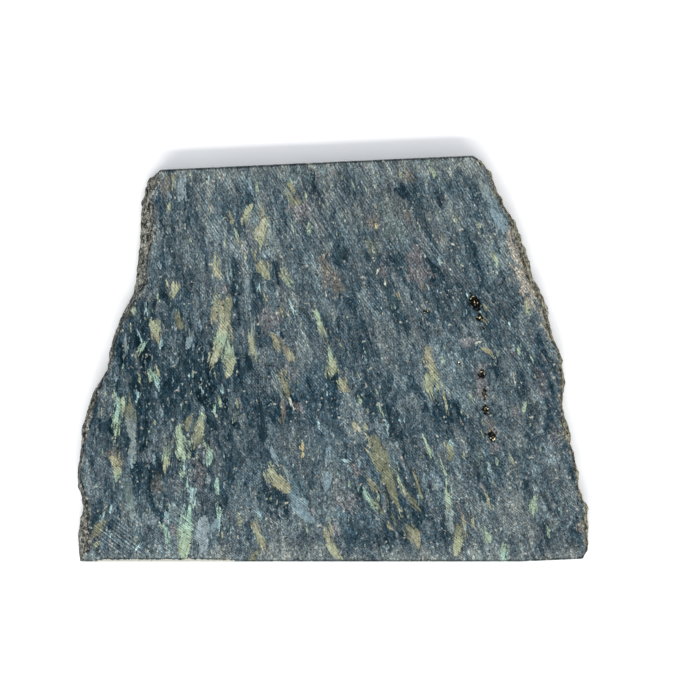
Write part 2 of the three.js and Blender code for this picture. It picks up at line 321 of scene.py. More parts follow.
    Blade(37.6, -42.4, 4.6, 1.4, -4, Tint.PALE_GREEN, Tint.MINT, -0.5),
    Blade(44.2, -32.6, 4.7, 1.3, 2, Tint.PALE_GREEN),
    Blade(33.6, 11.4, 1.9, 0.9, 50, Tint.OLIVE),
    Blade(33.4, 8.3, 1.9, 1.0, 34, Tint.OLIVE),
    Blade(29.6, 13.9, 1.5, 0.5, 12, Tint.ICE),
    Blade(21.9, -2.5, 10.6, 1.9, 19, Tint.GOLD, Tint.STRAW, 0.1),
    Blade(21.2, -6.6, 6.8, 1.5, 21, Tint.STRAW),
    Blade(25.0, -9.8, 7.4, 0.8, 10, Tint.GOLD, Tint.STRAW),
    Blade(34.3, 1.4, 2.8, 1.2, 38, Tint.GOLD),
    Blade(30.6, -8.9, 2.2, 0.9, 10, Tint.PALE_GREEN),
    Blade(42.1, -11.2, 3.2, 1.0, 0, Tint.PALE_GREEN),
    Blade(41.0, 2.0, 2.2, 0.9, 8, Tint.PALE_GREEN),
    Blade(43.9, -0.2, 3.4, 0.6, 26, Tint.PALE_GREEN),
    Blade(40.0, -4.6, 3.0, 0.5, 6, Tint.CREAM),
    Blade(3.1, -22.6, 2.0, 0.9, 50, Tint.ICE),
    Blade(5.8, -22.8, 2.6, 0.8, -8, Tint.SKY),
    Blade(-0.8, -20.6, 3.4, 1.3, 4, Tint.SKY),
    Blade(-1.4, -26.5, 4.0, 2.0, 16, Tint.SKY),
    Blade(10.7, -11.6, 4.4, 0.5, 16, Tint.PALE_GREEN),
    Blade(12.0, -16.2, 2.0, 0.5, 16, Tint.ICE),
    Blade(14.7, 40.5, 2.2, 0.7, 0, Tint.PALE_GOLD),
    Blade(21.0, 43.2, 2.6, 0.7, 6, Tint.PALE_GREEN),
    Blade(22.0, 40.8, 2.6, 0.9, 10, Tint.PALE_GREEN),
    Blade(16.3, 31.3, 3.2, 0.8, 20, Tint.BROWN),
    Blade(26.0, 32.8, 4.2, 1.1, 18, Tint.GREY),
    Blade(9.5, 29.2, 1.2, 0.9, 20, Tint.BRASSY),
    Blade(24.0, 26.9, 2.4, 0.5, 20, Tint.GOLD),
    Blade(23.9, 24.6, 3.4, 1.2, 8, Tint.GREY),
    Blade(35.6, 22.0, 3.8, 0.9, 22, Tint.STRAW, Tint.PALE_GREEN),
    Blade(34.0, 35.8, 9.0, 1.3, 26, Tint.GREY, Tint.SKY),
    Blade(36.6, 30.0, 6.6, 2.4, 22, Tint.SKY),
    # A painted glint: light caught by a small cleavage face, drawn as a cream blade.
    Blade(10.0, 19.2, 1.9, 0.5, -28, Tint.CREAM),
    Blade(14.6, 13.6, 2.8, 0.6, 22, Tint.GOLD),
    Blade(42.7, 11.5, 4.2, 0.9, 6, Tint.STRAW),
    Blade(39.0, 6.8, 2.6, 0.5, 24, Tint.ICE),
    Blade(33.2, 8.6, 2.0, 0.9, 30, Tint.GOLD),
    # Painted glints to the end of the list: light caught by small cleavage faces, drawn as cream blades.
    Blade(11.5, 16.8, 1.2, 0.7, -30, Tint.CREAM),
    Blade(-2.2, 22.9, 0.9, 0.5, 10, Tint.CREAM),
    Blade(26.4, 25.2, 0.9, 0.5, 40, Tint.CREAM),
    Blade(10.6, 9.6, 0.7, 0.5, 0, Tint.CREAM),
    Blade(31.9, 3.5, 1.2, 0.7, -40, Tint.CREAM),
    Blade(-6.4, 20.3, 0.7, 0.4, 10, Tint.CREAM),
    Blade(25.5, 14.9, 0.8, 0.4, -30, Tint.CREAM),
    Blade(28.3, 20.5, 0.7, 0.35, 40, Tint.CREAM),
    Blade(-11.3, 30.4, 0.9, 0.4, 50, Tint.CREAM),
    Blade(-11.4, 22.6, 0.6, 0.4, 0, Tint.CREAM),
    Blade(-41.0, 16.7, 1.0, 0.4, -50, Tint.CREAM),
    Blade(-13.7, -11.8, 0.8, 0.5, 20, Tint.CREAM),
    Blade(-8.6, -34.0, 0.7, 0.5, 0, Tint.CREAM),
)

# Stains and clusters under the blades.
PATCHES = (
    Patch(-36.7, 37.5, 4.6, 2.2, 3, Tint.BROWN),
    Patch(-18.7, 34.5, 3.4, 4.0, 20, Tint.NAVY),
    Patch(-7.0, 33.1, 6.4, 4.6, 25, Tint.ROSE),
    Patch(-6.6, 32.1, 4.2, 3.6, 15, Tint.ROSE, 0.5),
    Patch(-1.1, 19.1, 8.6, 3.4, 20, Tint.BROWN, 0.75),
    Patch(1.1, 16.2, 4.6, 3.2, 20, Tint.BROWN, 0.7),
    Patch(-14.0, 8.8, 4.8, 5.0, 10, Tint.ROSE, 0.55),
    Patch(-36.5, 7.6, 2.0, 2.6, 0, Tint.INK, 0.6),
    Patch(-23.4, 15.0, 2.6, 1.5, 5, Tint.ROSE),
    Patch(-48.0, -21.0, 2.4, 3.2, 0, Tint.BROWN, 0.7),
    Patch(-29.6, -25.8, 7.4, 2.6, 5, Tint.ROSE, 0.6),
    Patch(-38.8, -28.2, 4.4, 2.4, 5, Tint.BROWN, 0.5),
    Patch(-41.5, -21.0, 2.6, 3.2, 0, Tint.LILAC, 0.4),
    Patch(-40.5, -35.2, 3.6, 3.4, 10, Tint.LILAC, 0.6),
    Patch(-35.0, -37.6, 3.0, 1.2, 0, Tint.ROSE, 0.6),
    Patch(-13.0, -30.6, 8.0, 4.4, 24, Tint.INK, 0.9),
    Patch(-20.6, -13.2, 3.2, 2.4, 25, Tint.GREY, 0.7),
    Patch(-7.6, -10.6, 3.2, 2.2, 20, Tint.ROSE, 0.7),
    Patch(-9.0, -3.0, 4.0, 3.0, 20, Tint.ROSE, 0.4),
    Patch(2.4, -5.8, 2.6, 1.3, 20, Tint.BROWN, 0.6),
    Patch(5.0, -24.6, 3.2, 2.8, 10, Tint.ROSE, 0.6),
    Patch(0.4, -37.2, 3.4, 1.9, 10, Tint.ROSE, 0.6),
    Patch(3.2, -31.8, 3.8, 4.6, 20, Tint.ROSE, 0.5),
    Patch(6.2, -39.0, 5.6, 8.0, 0, Tint.NAVY, 0.6),
    Patch(29.8, -4.0, 6.8, 4.2, 10, Tint.DEEP, 0.6),
    Patch(28.9, 1.4, 2.6, 2.2, 20, Tint.NAVY, 0.7),
    Patch(29.4, 3.6, 2.4, 3.6, 0, Tint.ROSE, 0.6),
    Patch(37.6, -22.4, 3.2, 2.2, 0, Tint.NAVY, 0.7),
    Patch(41.2, -7.2, 4.6, 3.2, 0, Tint.INK, 0.65),
    Patch(47.5, -21.0, 5.4, 3.4, 0, Tint.LILAC, 0.5),
    Patch(46.0, -6.0, 8.0, 2.6, 8, Tint.ROSE, 0.4),
    Patch(16.5, 40.2, 3.4, 2.6, 10, Tint.BROWN, 0.7),
    Patch(27.4, 38.4, 4.6, 5.2, 60, Tint.NAVY, 0.65),
    Patch(31.0, 37.0, 5.0, 3.4, 24, Tint.NAVY, 0.6),
    Patch(12.8, 30.0, 11.0, 4.0, 22, Tint.MOSS, 0.55),
    Patch(8.8, 30.0, 3.0, 3.4, 20, Tint.BROWN, 0.7),
    Patch(8.8, 24.6, 4.6, 2.4, 22, Tint.OLIVE, 0.4),
    Patch(18.0, 22.8, 3.6, 4.4, 20, Tint.ROSE, 0.6),
    Patch(19.4, 18.6, 5.6, 5.4, 20, Tint.ROSE, 0.65),
    Patch(20.0, 15.8, 2.0, 2.4, 0, Tint.BROWN, 0.7),
    Patch(23.6, 25.8, 2.0, 1.8, 0, Tint.BROWN, 0.6),
    Patch(11.2, 19.5, 3.2, 1.9, 10, Tint.ROSE, 0.6),
    Patch(54.6, -36.9, 2.2, 2.4, 40, Tint.BROWN, 0.8),
    Patch(32.6, -5.0, 9.0, 2.8, 6, Tint.ROSE, 0.6),
    Patch(43.9, -12.0, 6.4, 2.6, 6, Tint.INK, 0.55),
    Patch(40.4, -11.8, 3.4, 2.0, 0, Tint.ROSE, 0.55),
    Patch(49.0, -17.4, 5.6, 2.4, 6, Tint.ROSE, 0.5),
    Patch(35.4, -19.4, 3.0, 2.4, 0, Tint.ROSE, 0.55),
    Patch(32.6, -22.8, 7.5, 4.0, 4, Tint.MOSS, 0.45),
    Patch(34.6, -15.0, 6.0, 2.6, 16, Tint.BROWN, 0.6),
    Patch(-32.3, 29.6, 4.4, 1.4, -10, Tint.NAVY, 0.9),
    Patch(11.6, -6.3, 4.8, 3.0, -12, Tint.NAVY, 0.9),
    Patch(8.2, -9.0, 3.6, 3.0, 8, Tint.NAVY, 0.9),
    Patch(15.4, 36.7, 4.4, 2.4, 20, Tint.INK, 0.9),
    Patch(18.2, 35.5, 5.2, 2.8, 16, Tint.DEEP, 0.9),
    Patch(32.2, 30.0, 4.0, 2.1, 4, Tint.NAVY, 0.9),
    Patch(29.0, 27.0, 2.8, 3.0, 10, Tint.DEEP, 0.9),
    Patch(2.4, 23.6, 3.6, 2.8, 16, Tint.DEEP, 0.9),
    Patch(1.2, 21.2, 3.8, 3.2, 16, Tint.NAVY, 0.9),
    Patch(6.2, 7.3, 2.6, 2.5, 20, Tint.NAVY, 0.9),
    Patch(15.0, 22.0, 2.8, 1.9, 8, Tint.DEEP, 0.9),
    Patch(12.2, 14.4, 9.6, 2.5, 30, Tint.DEEP, 0.9),
    Patch(15.4, 8.2, 5.4, 3.4, 26, Tint.NAVY, 0.9),
    Patch(21.6, 8.8, 3.4, 2.5, 10, Tint.NAVY, 0.9),
    Patch(39.8, 24.8, 11.0, 2.6, 22, Tint.RIND, 0.85),
    Patch(43.0, 16.8, 12.0, 4.4, 22, Tint.RIND, 0.9),
    Patch(46.8, 9.0, 10.0, 2.8, 18, Tint.RIND, 0.8),
)

# Weathered crust that reaches in over the front face.
CRUSTS = (
    Patch(-39.4, 38.6, 6.0, 2.2, -14, Tint.RIND),
    Patch(-41.4, 31.4, 15.0, 3.0, -4, Tint.RIND),
    Patch(-42.6, 21.0, 9.0, 1.2, -6, Tint.RIND),
    Patch(-55.0, -38.5, 12.0, 2.8, -4, Tint.RIND),
    Patch(-53.6, -13.0, 8.0, 1.0, -12, Tint.RIND),
    Patch(54.6, -27.0, 14.0, 1.6, 12, Tint.RIND),
)

# Broad areas that differ from the rest of the front face.
ZONES = (
    Zone(-38.0, -4.0, 15.0, -0.29, 0.0, 0.2),
    Zone(-20.0, -12.0, 10.0, -0.14),
    Zone(-4.0, -9.0, 8.0, -0.08, -0.3, -0.5),
    Zone(-24.0, 32.0, 11.0, 0.1),
    Zone(12.0, 31.0, 9.0, 0.02, 0.35, -0.2),
    Zone(-3.5, 37.5, 5.0, 0.08, 0.15),
    Zone(44.0, 18.0, 5.0, 0.08, 0.1),
    Zone(20.0, 18.0, 9.0, -0.02, 0.1, -0.3),
    Zone(42.0, -9.0, 9.0, -0.05, 0.05, 0.2),
    Zone(43.0, -32.0, 11.0, 0.04, 0.14),
    Zone(37.0, 31.0, 6.0, 0.06, -0.1),
    Zone(-35.0, -38.0, 12.0, 0.05, 0.0, 0.3),
    Zone(-8.0, -40.0, 12.0, 0.07, 0.15),
    Zone(6.0, -38.0, 7.0, -0.08, -0.1),
    Zone(-40.0, -16.0, 12.0, -0.04, 0.1, 0.5),
    Zone(22.0, -2.0, 9.0, 0.04, -0.1, -0.2),
    Zone(-48.4, -39.0, 5.5, 0.0, 0.0, 0.0, 1.4),
    Zone(-2.0, 31.0, 8.0, 0.0, 0.0, 0.0, 0.9),
    Zone(-34.0, -33.0, 6.0, 0.0, 0.0, 0.0, 0.6),
    Zone(12.0, -34.0, 8.0, 0.0, 0.0, 0.0, 0.5),
    Zone(-27.0, 33.0, 8.0, 0.0, 0.0, 0.0, 0.4),
    Zone(30.0, -28.0, 9.0, 0.0, 0.0, 0.0, 0.4),
)

# Open pits, where grains have fallen out.
PITS = (
    Pit(31.2, 12.3, 3.6, 2.2, 0.9, 24),
    Pit(32.3, 8.9, 2.0, 1.5, 0.7, 8),
    Pit(20.6, 10.5, 1.7, 1.1, 0.5, -50),
    Pit(33.1, 7.0, 1.3, 0.9, 0.4, 15),
    Pit(32.7, -3.3, 2.5, 1.9, 0.6, -20),
    Pit(33.3, -7.5, 3.2, 1.1, 0.6, 8),
    Pit(33.6, -11.3, 2.8, 1.7, 0.7, 12),
    Pit(35.0, -16.9, 2.8, 2.0, 0.7, 30),
    Pit(27.8, -1.1, 1.2, 0.9, 0.4, 0),
)


class Rough(NamedTuple):
    """Smooth noise: its height, the width of its cells in millimetres, and the seed of its pattern."""

    height: float
    size: float | tuple[float, float, float]
    seed: int

    def at(self, points: np.ndarray) -> np.ndarray:
        """Give the noise's value at each point."""
        return self.height * noise(points, self.size, self.seed)


def lattice(i: np.ndarray, j: np.ndarray, k: np.ndarray, seed: int) -> np.ndarray:
    """Give a repeatable number from -1 to 1 for each point of a whole-number lattice.

    Args:
        i: the points' first numbers.
        j: their second numbers.
        k: and their third.
        seed: number that picks the pattern.

    Returns:
        One value for each point.
    """
    mixed = i.astype(np.uint32) * SCRAMBLE_I
    mixed = mixed ^ (j.astype(np.uint32) * SCRAMBLE_J)
    mixed = mixed ^ (k.astype(np.uint32) * SCRAMBLE_K)
    mixed = (mixed ^ np.uint32(seed * SCRAMBLE_SEED) ^ (mixed >> np.uint32(13))) * SCRAMBLE_TWICE
    mixed = (mixed ^ (mixed >> np.uint32(15))) * SCRAMBLE_LAST
    return (mixed ^ (mixed >> np.uint32(16))) / HALF_RANGE - 1


def noise(points: np.ndarray, size: float | tuple[float, float, float], seed: int) -> np.ndarray:
    """Smooth noise from about -1 to 1 at each point.

    Args:
        points: one position in each row.
        size: width of one noise cell in millimetres, the same or one for each axis.
        seed: number that picks the pattern.

    Returns:
        One value for each point.
    """
    scaled = points / np.asarray(size, float)
    cell = np.floor(scaled)
    part = scaled - cell
    ease = part * part * (3 - 2 * part)
    cell = cell.astype(np.int64)
    total = np.zeros(len(points))
    for corner in range(8):
        step = np.array([corner & 1, corner >> 1 & 1, corner >> 2 & 1])
        weight = np.prod(np.where(step, ease, 1 - ease), axis=1)
        at = cell + step
        total += weight * lattice(at[:, 0], at[:, 1], at[:, 2], seed)
    return total


def smoothstep(values: np.ndarray, low: float, high: float) -> np.ndarray:
    """Rise smoothly from 0 at low to 1 at high."""
    share = np.clip((values - low) / (high - low), 0, 1)
    return share * share * (3 - 2 * share)


@dataclass(frozen=True)
class GrainFan:
    """The grain of the rock: lines that fan out from a point far above the slab's upper left corner."""

    x: float = -50.0
    y: float = 236.0

    def coordinates(self, points: np.ndarray) -> np.ndarray:
        """Give each point its place across the grain, along it and through the slab.

        Args:
            points: one position in each row.

        Returns:
            Across, along and height in millimetres, one row for each point.
        """
        right = points[:, 0] - self.x
        down = self.y - points[:, 1]
        across = self.y * np.arctan2(right, down)
        return np.column_stack([across, np.hypot(right, down), points[:, 2]])


@dataclass(frozen=True)
class SawSweep:
    """Marks of the slab saw: arcs of the blade's radius, one after another along X."""

    radius: float = 296.0
    axis_y: float = 196.0

    def coordinates(self, points: np.ndarray) -> np.ndarray:
        """Give each point its place along the saw's feed and along its mark.

        Args:
            points: one position in each row.

        Returns:
            Feed, place along the mark and height in millimetres, one row for each point.
        """
        rise = self.axis_y - points[:, 1]
        feed = points[:, 0] + np.sqrt(np.maximum(self.radius**2 - rise**2, 0))
        return np.column_stack([feed, self.radius * np.arcsin(rise / self.radius), points[:, 2]])


def local_axes(points: np.ndarray, mark: Blade | Patch | Pit) -> tuple[np.ndarray, np.ndarray]:
    """Measure each point from the middle of a mark.

    Args:
        points: one position in each row.
        mark: the blade, patch or pit.

    Returns:
        Each point's place across the mark, and its place along it towards its foot, in millimetres.
    """
    lean = math.radians(mark.lean)
    right, up = points[:, 0] - mark.x, points[:, 1] - mark.y
    across = right * math.cos(lean) + up * math.sin(lean)
    return across, right * math.sin(lean) - up * math.cos(lean)


@dataclass(frozen=True)
class Marking:
    """Works out how far inside the nearest blade or patch each point of the front face lies.

    Lengths are in millimetres. A pair of a splinter's numbers is the least value and what chance adds.
    """

    margin: float = 1.6
    # Painted glare along the sawn edges: the band's width, and how much lighter and warmer it makes them.
    outside: float = -1.5
    glare_band: float = 6.0
    edge_glare: float = 0.18
    pointed: float = 1.8
    blunt: float = 6.0
    unevenness: float = 0.4
    uneven_draw: Rough = Rough(1.0, 1.7, 31)
    slant: float = 1.0
    slant_draw: Rough = Rough(1.0, 1.3, 37)
    notch: float = 0.32
    long_notches: Rough = Rough(1.0, (1.6, 1.0, 1.0), 33)
    short_notches: Rough = Rough(1.0, (0.6, 1.0, 1.0), 35)
    sides_apart: float = 40.0
    tint_change: float = 0.5
    blades_apart: float = 3.0
    patch_depth: float = 1.2
    splintered: float = 3.4
    slender: float = 4.0
    splinters_each: int = 3
    splinters_apart: float = 5.0
    splinter_draw_size: float = 0.9
    splinter_seeds: tuple[int, ...] = (41, 42, 43, 44)
    splinter_aside: tuple[float, float] = (0.5, 0.3)
    splinter_along: tuple[float, float] = (0.15, 0.45)
    splinter_length: tuple[float, float] = (0.42, 0.2)
    splinter_width: tuple[float, float] = (0.36, 0.1)
    splinter_turn: float = 9.0

    def splinters(self) -> list[Blade]:
        """Lay thin splinters along the sides of the larger blades.

        Returns:
            The splinters.
        """
        thin = []
        for blade in BLADES:
            if blade.length < self.splintered or blade.width < self.splintered / self.slender:
                continue
            for number in range(self.splinters_each):
                thin.append(self.splinter(blade, number))
        return thin

    def splinter(self, blade: Blade, number: int) -> Blade:
        """Lay one splinter beside a blade.

        Args:
            blade: the blade.
            number: which of its splinters this is.

        Returns:
            The splinter, as a thin blade.
        """
        place = np.array([[blade.x, blade.y, number * self.splinters_apart]])
        draws = (noise(place, self.splinter_draw_size, seed)[0] for seed in self.splinter_seeds)
        side, shift, size, turn = (float(draw) for draw in draws)
        lean = math.radians(blade.lean)
        least_aside, more_aside = self.splinter_aside
        across = math.copysign(least_aside + more_aside * abs(shift), side) * blade.width
        least_along, more_along = self.splinter_along
        along = (least_along + more_along * size) * blade.length * math.copysign(1, shift)
        x = blade.x + across * math.cos(lean) + along * math.sin(lean)
        y = blade.y + across * math.sin(lean) - along * math.cos(lean)
        length = blade.length * (self.splinter_length[0] + self.splinter_length[1] * size)
        width = self.splinter_width[0] + self.splinter_width[1] * size
        tint = blade.head if along < 0 else blade.foot or blade.head
        return Blade(x, y, length, width, blade.lean + self.splinter_turn * turn, tint)

    def blades(self, points: np.ndarray) -> tuple[np.ndarray, np.ndarray, np.ndarray]:
        """Measure the points against every blade.

        Args:
            points: one position in each row.

        Returns:
            The depth inside the blade in millimetres, negative outside, the blade's tint, and the place
            across the blade and along it in millimetres, with a number of its own for each blade.
        """
        field = np.full(len(points), self.outside)
        tint = np.tile(linear(Tint.GREY.value), (len(points), 1))
        place = points.copy()
        for number, blade in enumerate((*BLADES, *self.splinters())):
            near = np.nonzero(self.near(points, blade))[0]
            across, along = local_axes(points[near], blade)
            share = along / (blade.length / 2)
            depth = self.half_width(blade, across, along) - np.abs(across)
            won = depth > field[near]
            field[near[won]] = depth[won]
            head = np.array(linear(blade.head.value))
            foot = np.array(linear((blade.foot or blade.head).value))
            mix = smoothstep(share[won], -self.tint_change, self.tint_change)[:, None]
            tint[near[won]] = head * (1 - mix) + foot * mix
            own = np.full(len(across), self.blades_apart * number)
            place[near[won]] = np.column_stack([across, along, own])[won]
        return field, tint, place

    def half_width(self, blade: Blade, across: np.ndarray, along: np.ndarray) -> np.ndarray:
        """Work out a blade's half width, with a pointed end, a blunter one and notches in its sides.

        Args:
            blade: the blade.
            across: each point's place across it in millimetres.
            along: and towards its foot.

        Returns:
            Half the width in millimetres at each point.
        """
        middle = np.array([[blade.x, blade.y, 0.0]])
        taper = blade.taper or self.unevenness * math.copysign(1, self.uneven_draw.at(middle)[0])
        slant = self.slant * math.copysign(1, self.slant_draw.at(middle)[0])
        share = (along + slant * across) / (blade.length / 2)
        own_side = np.sign(across) * self.sides_apart + blade.x
        side = np.column_stack([along, own_side, np.full(len(along), blade.y)])
        notched = 1 + self.notch * (self.long_notches.at(side) + self.short_notches.at(side))
        wedge = np.maximum(1 - taper * share, 1 - abs(taper))
        power = np.where(share * taper > 0, self.pointed, self.blunt)
        return (1 - np.abs(share) ** power) * wedge * notched * blade.width / 2

    def patches(self, points: np.ndarray, patches: tuple[Patch, ...]) -> tuple[np.ndarray, np.ndarray]:
        """Measure the points against some patches.

        Args:
            points: one position in each row.
            patches: the patches.

        Returns:
            The depth inside the patch in millimetres, and its tint with its strength as alpha.
        """
        field = np.full(len(points), self.outside)
        tint = np.tile(linear(Tint.GREY.value), (len(points), 1))
        for patch in patches:
            near = np.nonzero(self.near(points, patch))[0]
            across, along = local_axes(points[near], patch)
            reach = np.hypot(across / (patch.width / 2), along / (patch.length / 2))
            depth = (1 - reach) * self.patch_depth
            won = depth > field[near]
            field[near[won]] = depth[won]
            tint[near[won]] = (*linear(patch.tint.value)[:3], patch.strength)
        return field, tint

    def near(self, points: np.ndarray, mark: Blade | Patch) -> np.ndarray:
        """Tell which points are close enough to a mark to be measured against it."""
        reach = mark.length / 2 + self.margin
        return (np.abs(points[:, 0] - mark.x) < reach) & (np.abs(points[:, 1] - mark.y) < reach)

    def zones(self, points: np.ndarray) -> np.ndarray:
        """Add up the broad areas at each point, and the painted glare along the sawn edges.

        Args:
            points: one position in each row.

        Returns:
            Tone, warmth, richness in flecks and scoring, one row for each point.
        """
        total = np.zeros((len(points), 4))
        for zone in ZONES:
            distance = np.hypot(points[:, 0] - zone.x, points[:, 1] - zone.y)
            weight = np.exp(-((distance / zone.reach) ** 2))[:, None]
            total += weight * np.array([zone.tone, zone.warmth, zone.flecks, zone.scored])
        # Painted glare: a band along each sawn edge is made lighter and warmer, standing in for the light
        # glancing off it.
        near_long_edge = 1 - smoothstep(points[:, 1] - LONG_EDGE_Y, 0, self.glare_band)
        near_short_edge = smoothstep(points[:, 1] - SHORT_EDGE_Y, -self.glare_band, 0)
        total[:, 0] += self.edge_glare * (near_long_edge + near_short_edge)
        total[:, 1] += self.edge_glare * (near_long_edge + near_short_edge)
        return total


class Shell(NamedTuple):
    """Points in millimetres and triangles of a mesh that is being put together."""

    points: np.ndarray
    triangles: np.ndarray


@dataclass(frozen=True)
class StoneSlab:
    """The slab itself: broken and sawn walls taken from the frame, closed by two sawn faces.

    Lengths are in millimetres. Steps are the distances between the mesh's points. A bend is where a sawn
    edge turns a little, and its slope is how much. Depths are heights over the front face, so negative.
    """

    wall_step: float = 0.42
    face_step: float = 0.62
    blade_step: float = 0.315
    pit_step: float = 0.15
    back_step: float = 1.0
    blade_border: float = 0.32
    pit_border: float = 1.35
    rim_gap: float = 0.45
    jitter: float = 0.18
    jitter_size: float = 0.7
    jitter_seeds: tuple[int, int] = (17, 19)

    weld: float = 0.0005
    in_plane: float = 0.001
    near_plane: float = 0.01
    smoothing: float = 0.4
    smoothings: int = 2

    lump: Rough = Rough(0.26, 1.5, 3)
    splinter: Rough = Rough(0.25, (0.55, 2.4, 0.7), 5)
    crumb: Rough = Rough(0.12, 0.42, 7)
    sawn_wear: float = 0.02
    wear_pattern: Rough = Rough(1.0, 0.4, 9)
    chip: float = 0.3
    corner: float = 0.7
    small_chips: Rough = Rough(1.0, 0.9, 13)
    small_chip_levels: tuple[float, float] = (0.35, 0.8)
    large_chips: Rough = Rough(1.0, 2.6, 15)
    large_chip_levels: tuple[float, float] = (0.5, 0.9)

    long_bend_x: float = 41.0
    long_slope: float = 0.03
    short_bend_x: float = 27.6
    short_slope: float = 0.0457
    sawn_reach: tuple[float, float] = (1.0, 1.5)
    bevel: float = 0.38
    bevel_start: tuple[float, float] = (-53.5, -50.0)
    bevel_end: tuple[float, float] = (-27.0, -18.0)
    bevel_reach: float = 0.45
    # How far down the wall the painted highlight on the bevel reaches.
    bevel_highlight_depth: tuple[float, float] = (-1.1, -0.5)

    far_from_pits: float = 9.0
    pit_outline: Rough = Rough(0.4, 0.5, 21)
    pit_floor: Rough = Rough(0.25, 0.4, 23)
    colour_depth: tuple[float, float] = (-2.2, -0.4)
    colour_fade: float = 1.2

    fan: GrainFan = GrainFan()
    saw: SawSweep = SawSweep()
    marking: Marking = Marking()

    def build(self, material: bpy.types.Material) -> bpy.types.Object:
        """Make the stone as one closed mesh.

        Args:
            material: the finish that it gets.

        Returns:
            The object, at the origin, riding on the slab's body.
        """
        wall = self.wall()
        front = self.rim_loop(wall, TOP)
        back = self.rim_loop(wall, 0.0)
        shell = self.close(wall, front, self.front_points(wall.points[front]), True)
        shell = self.close(shell, back, self.back_points(wall.points[back]), False)
        points = np.clip(shell.points, LOW, HIGH)
        mesh = bpy.data.meshes.new("stone")
        mesh.from_pydata((points * MM).tolist(), [], shell.triangles.tolist())
        mesh.validate()
        mesh.shade_smooth()
        piece = bpy.data.objects.new("stone", mesh)
        bpy.context.scene.collection.objects.link(piece)
        mesh.materials.append(material)
        self.mark(mesh, points, wall.points[front], len(wall.points))
        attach(piece, "root")
        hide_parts(NODE)
        LOG.info("stone: %d triangles", len(mesh.polygons))
        return piece

    def wall(self) -> Shell:
        """Cut the walls out of the frame's solid, divide them finely and roughen them.

        Returns:
            The walls.
        """
        bench = bmesh.new()
        bench.from_mesh(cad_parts[NODE].data)
        bmesh.ops.scale(bench, vec=Vector((1, 1, 1)) / MM, verts=bench.verts)
        bmesh.ops.remove_doubles(bench, verts=bench.verts, dist=self.weld)
        flat = [f for f in bench.faces if self.is_flat_face(f)]
        bmesh.ops.delete(bench, geom=flat, context="FACES")
        bench.verts.ensure_lookup_table()
        start = min(bench.verts, key=lambda v: v.co.z)
        found, waiting = {start}, [start]
        while waiting:
            for edge in waiting.pop().link_edges:
                for vert in edge.verts:
                    if vert not in found:
                        found.add(vert)
                        waiting.append(vert)
        bmesh.ops.delete(bench, geom=[v for v in bench.verts if v not in found], context="VERTS")
        fine = self.divided(self.taken(bench))
        mesh = bpy.data.meshes.new("wall")
        mesh.from_pydata(fine.points.tolist(), [], fine.triangles.tolist())
        bench.clear()
        bench.from_mesh(mesh)
        bpy.data.meshes.remove(mesh)
        inner = [v for v in bench.verts if not v.is_boundary]
        every_way = {"use_axis_x": True, "use_axis_y": True, "use_axis_z": True}
        for _ in range(self.smoothings):
            bmesh.ops.smooth_vert(bench, verts=inner, factor=self.smoothing, **every_way)
        bench.normal_update()
        smooth = self.taken(bench)
        normals = np.array([v.normal for v in bench.verts])
        bench.free()
        return Shell(self.roughened(smooth.points, normals), smooth.triangles)

    def taken(self, bench: bmesh.types.BMesh) -> Shell:
        """Take the points and triangles out of a mesh on the bench.

        Args:
            bench: the mesh.

        Returns:
            The same mesh as arrays.
        """
        bench.verts.index_update()
        points = np.array([v.co for v in bench.verts])
        return Shell(points, np.array([[v.index for v in f.verts] for f in bench.faces]))

    def divided(self, shell: Shell) -> Shell:
        """Halve the sides that are longer than the wall's step, until none is.

        Args:
            shell: the mesh.

        Returns:
            The same surface in smaller triangles.
        """
        points, triangles = shell
        while True:
            sides = np.concatenate([triangles[:, [i, (i + 1) % 3]] for i in range(3)])
            pairs, name = np.unique(np.sort(sides, axis=1), axis=0, return_inverse=True)
            length = np.linalg.norm(points[pairs[:, 0]] - points[pairs[:, 1]], axis=1)
            too_long = length > self.wall_step
            if not too_long.any():
                return Shell(points, triangles)
            middle = np.where(too_long, len(points) + np.cumsum(too_long) - 1, -1)
            points = np.concatenate([points, points[pairs[too_long]].mean(axis=1)])
            middles = middle[name.ravel()].reshape(3, -1).T
            both = zip(triangles.tolist(), middles.tolist())
            triangles = np.array([piece for corners, halves in both for piece in self.cut(corners, halves)])

    def cut(self, corners: list[int], middles: list[int]) -> list[list[int]]:
        """Cut a triangle through the middles of its divided sides.

        Args:
            corners: the triangle's points, in order.
            middles: the middle of the side after each corner, or -1 where the side stays whole.

        Returns:
            The smaller triangles, or the same one if no side is divided.
        """
        ring = [point for pair in zip(corners, middles) for point in pair if point >= 0]
        if len(ring) == len(corners):
            return [corners]
        if len(ring) == 2 * len(corners):
            tips = [[ring[i], ring[i + 1], ring[i - 1]] for i in range(0, len(ring), 2)]
            return [*tips, middles]
        start = next(place for place, point in enumerate(ring) if point in middles)
        ring = ring[start:] + ring[:start]
        return [[ring[0], ring[i], ring[i + 1]] for i in range(1, len(ring) - 1)]

    def is_flat_face(self, face: bmesh.types.BMFace) -> bool:
        """Tell whether a face lies in the plane of the front or the back."""
        heights = [vert.co.z for vert in face.verts]
        return max(heights) < self.in_plane or min(heights) > TOP - self.in_plane

    def sawn_share(self, points: np.ndarray) -> np.ndarray:
        """Tell how far each wall point belongs to a sawn edge.

        Args:
            points: one position in each row.

        Returns:
            A share for each point, 1 on a sawn edge and 0 on a broken one.
        """
        long_line = LONG_EDGE_Y + self.long_slope * np.maximum(points[:, 0] - self.long_bend_x, 0)
        short_line = HIGH[1] - self.short_slope * np.maximum(self.short_bend_x - points[:, 0], 0)
        gap = np.minimum(np.abs(points[:, 1] - long_line), np.abs(points[:, 1] - short_line))
        return 1 - smoothstep(gap, *self.sawn_reach)

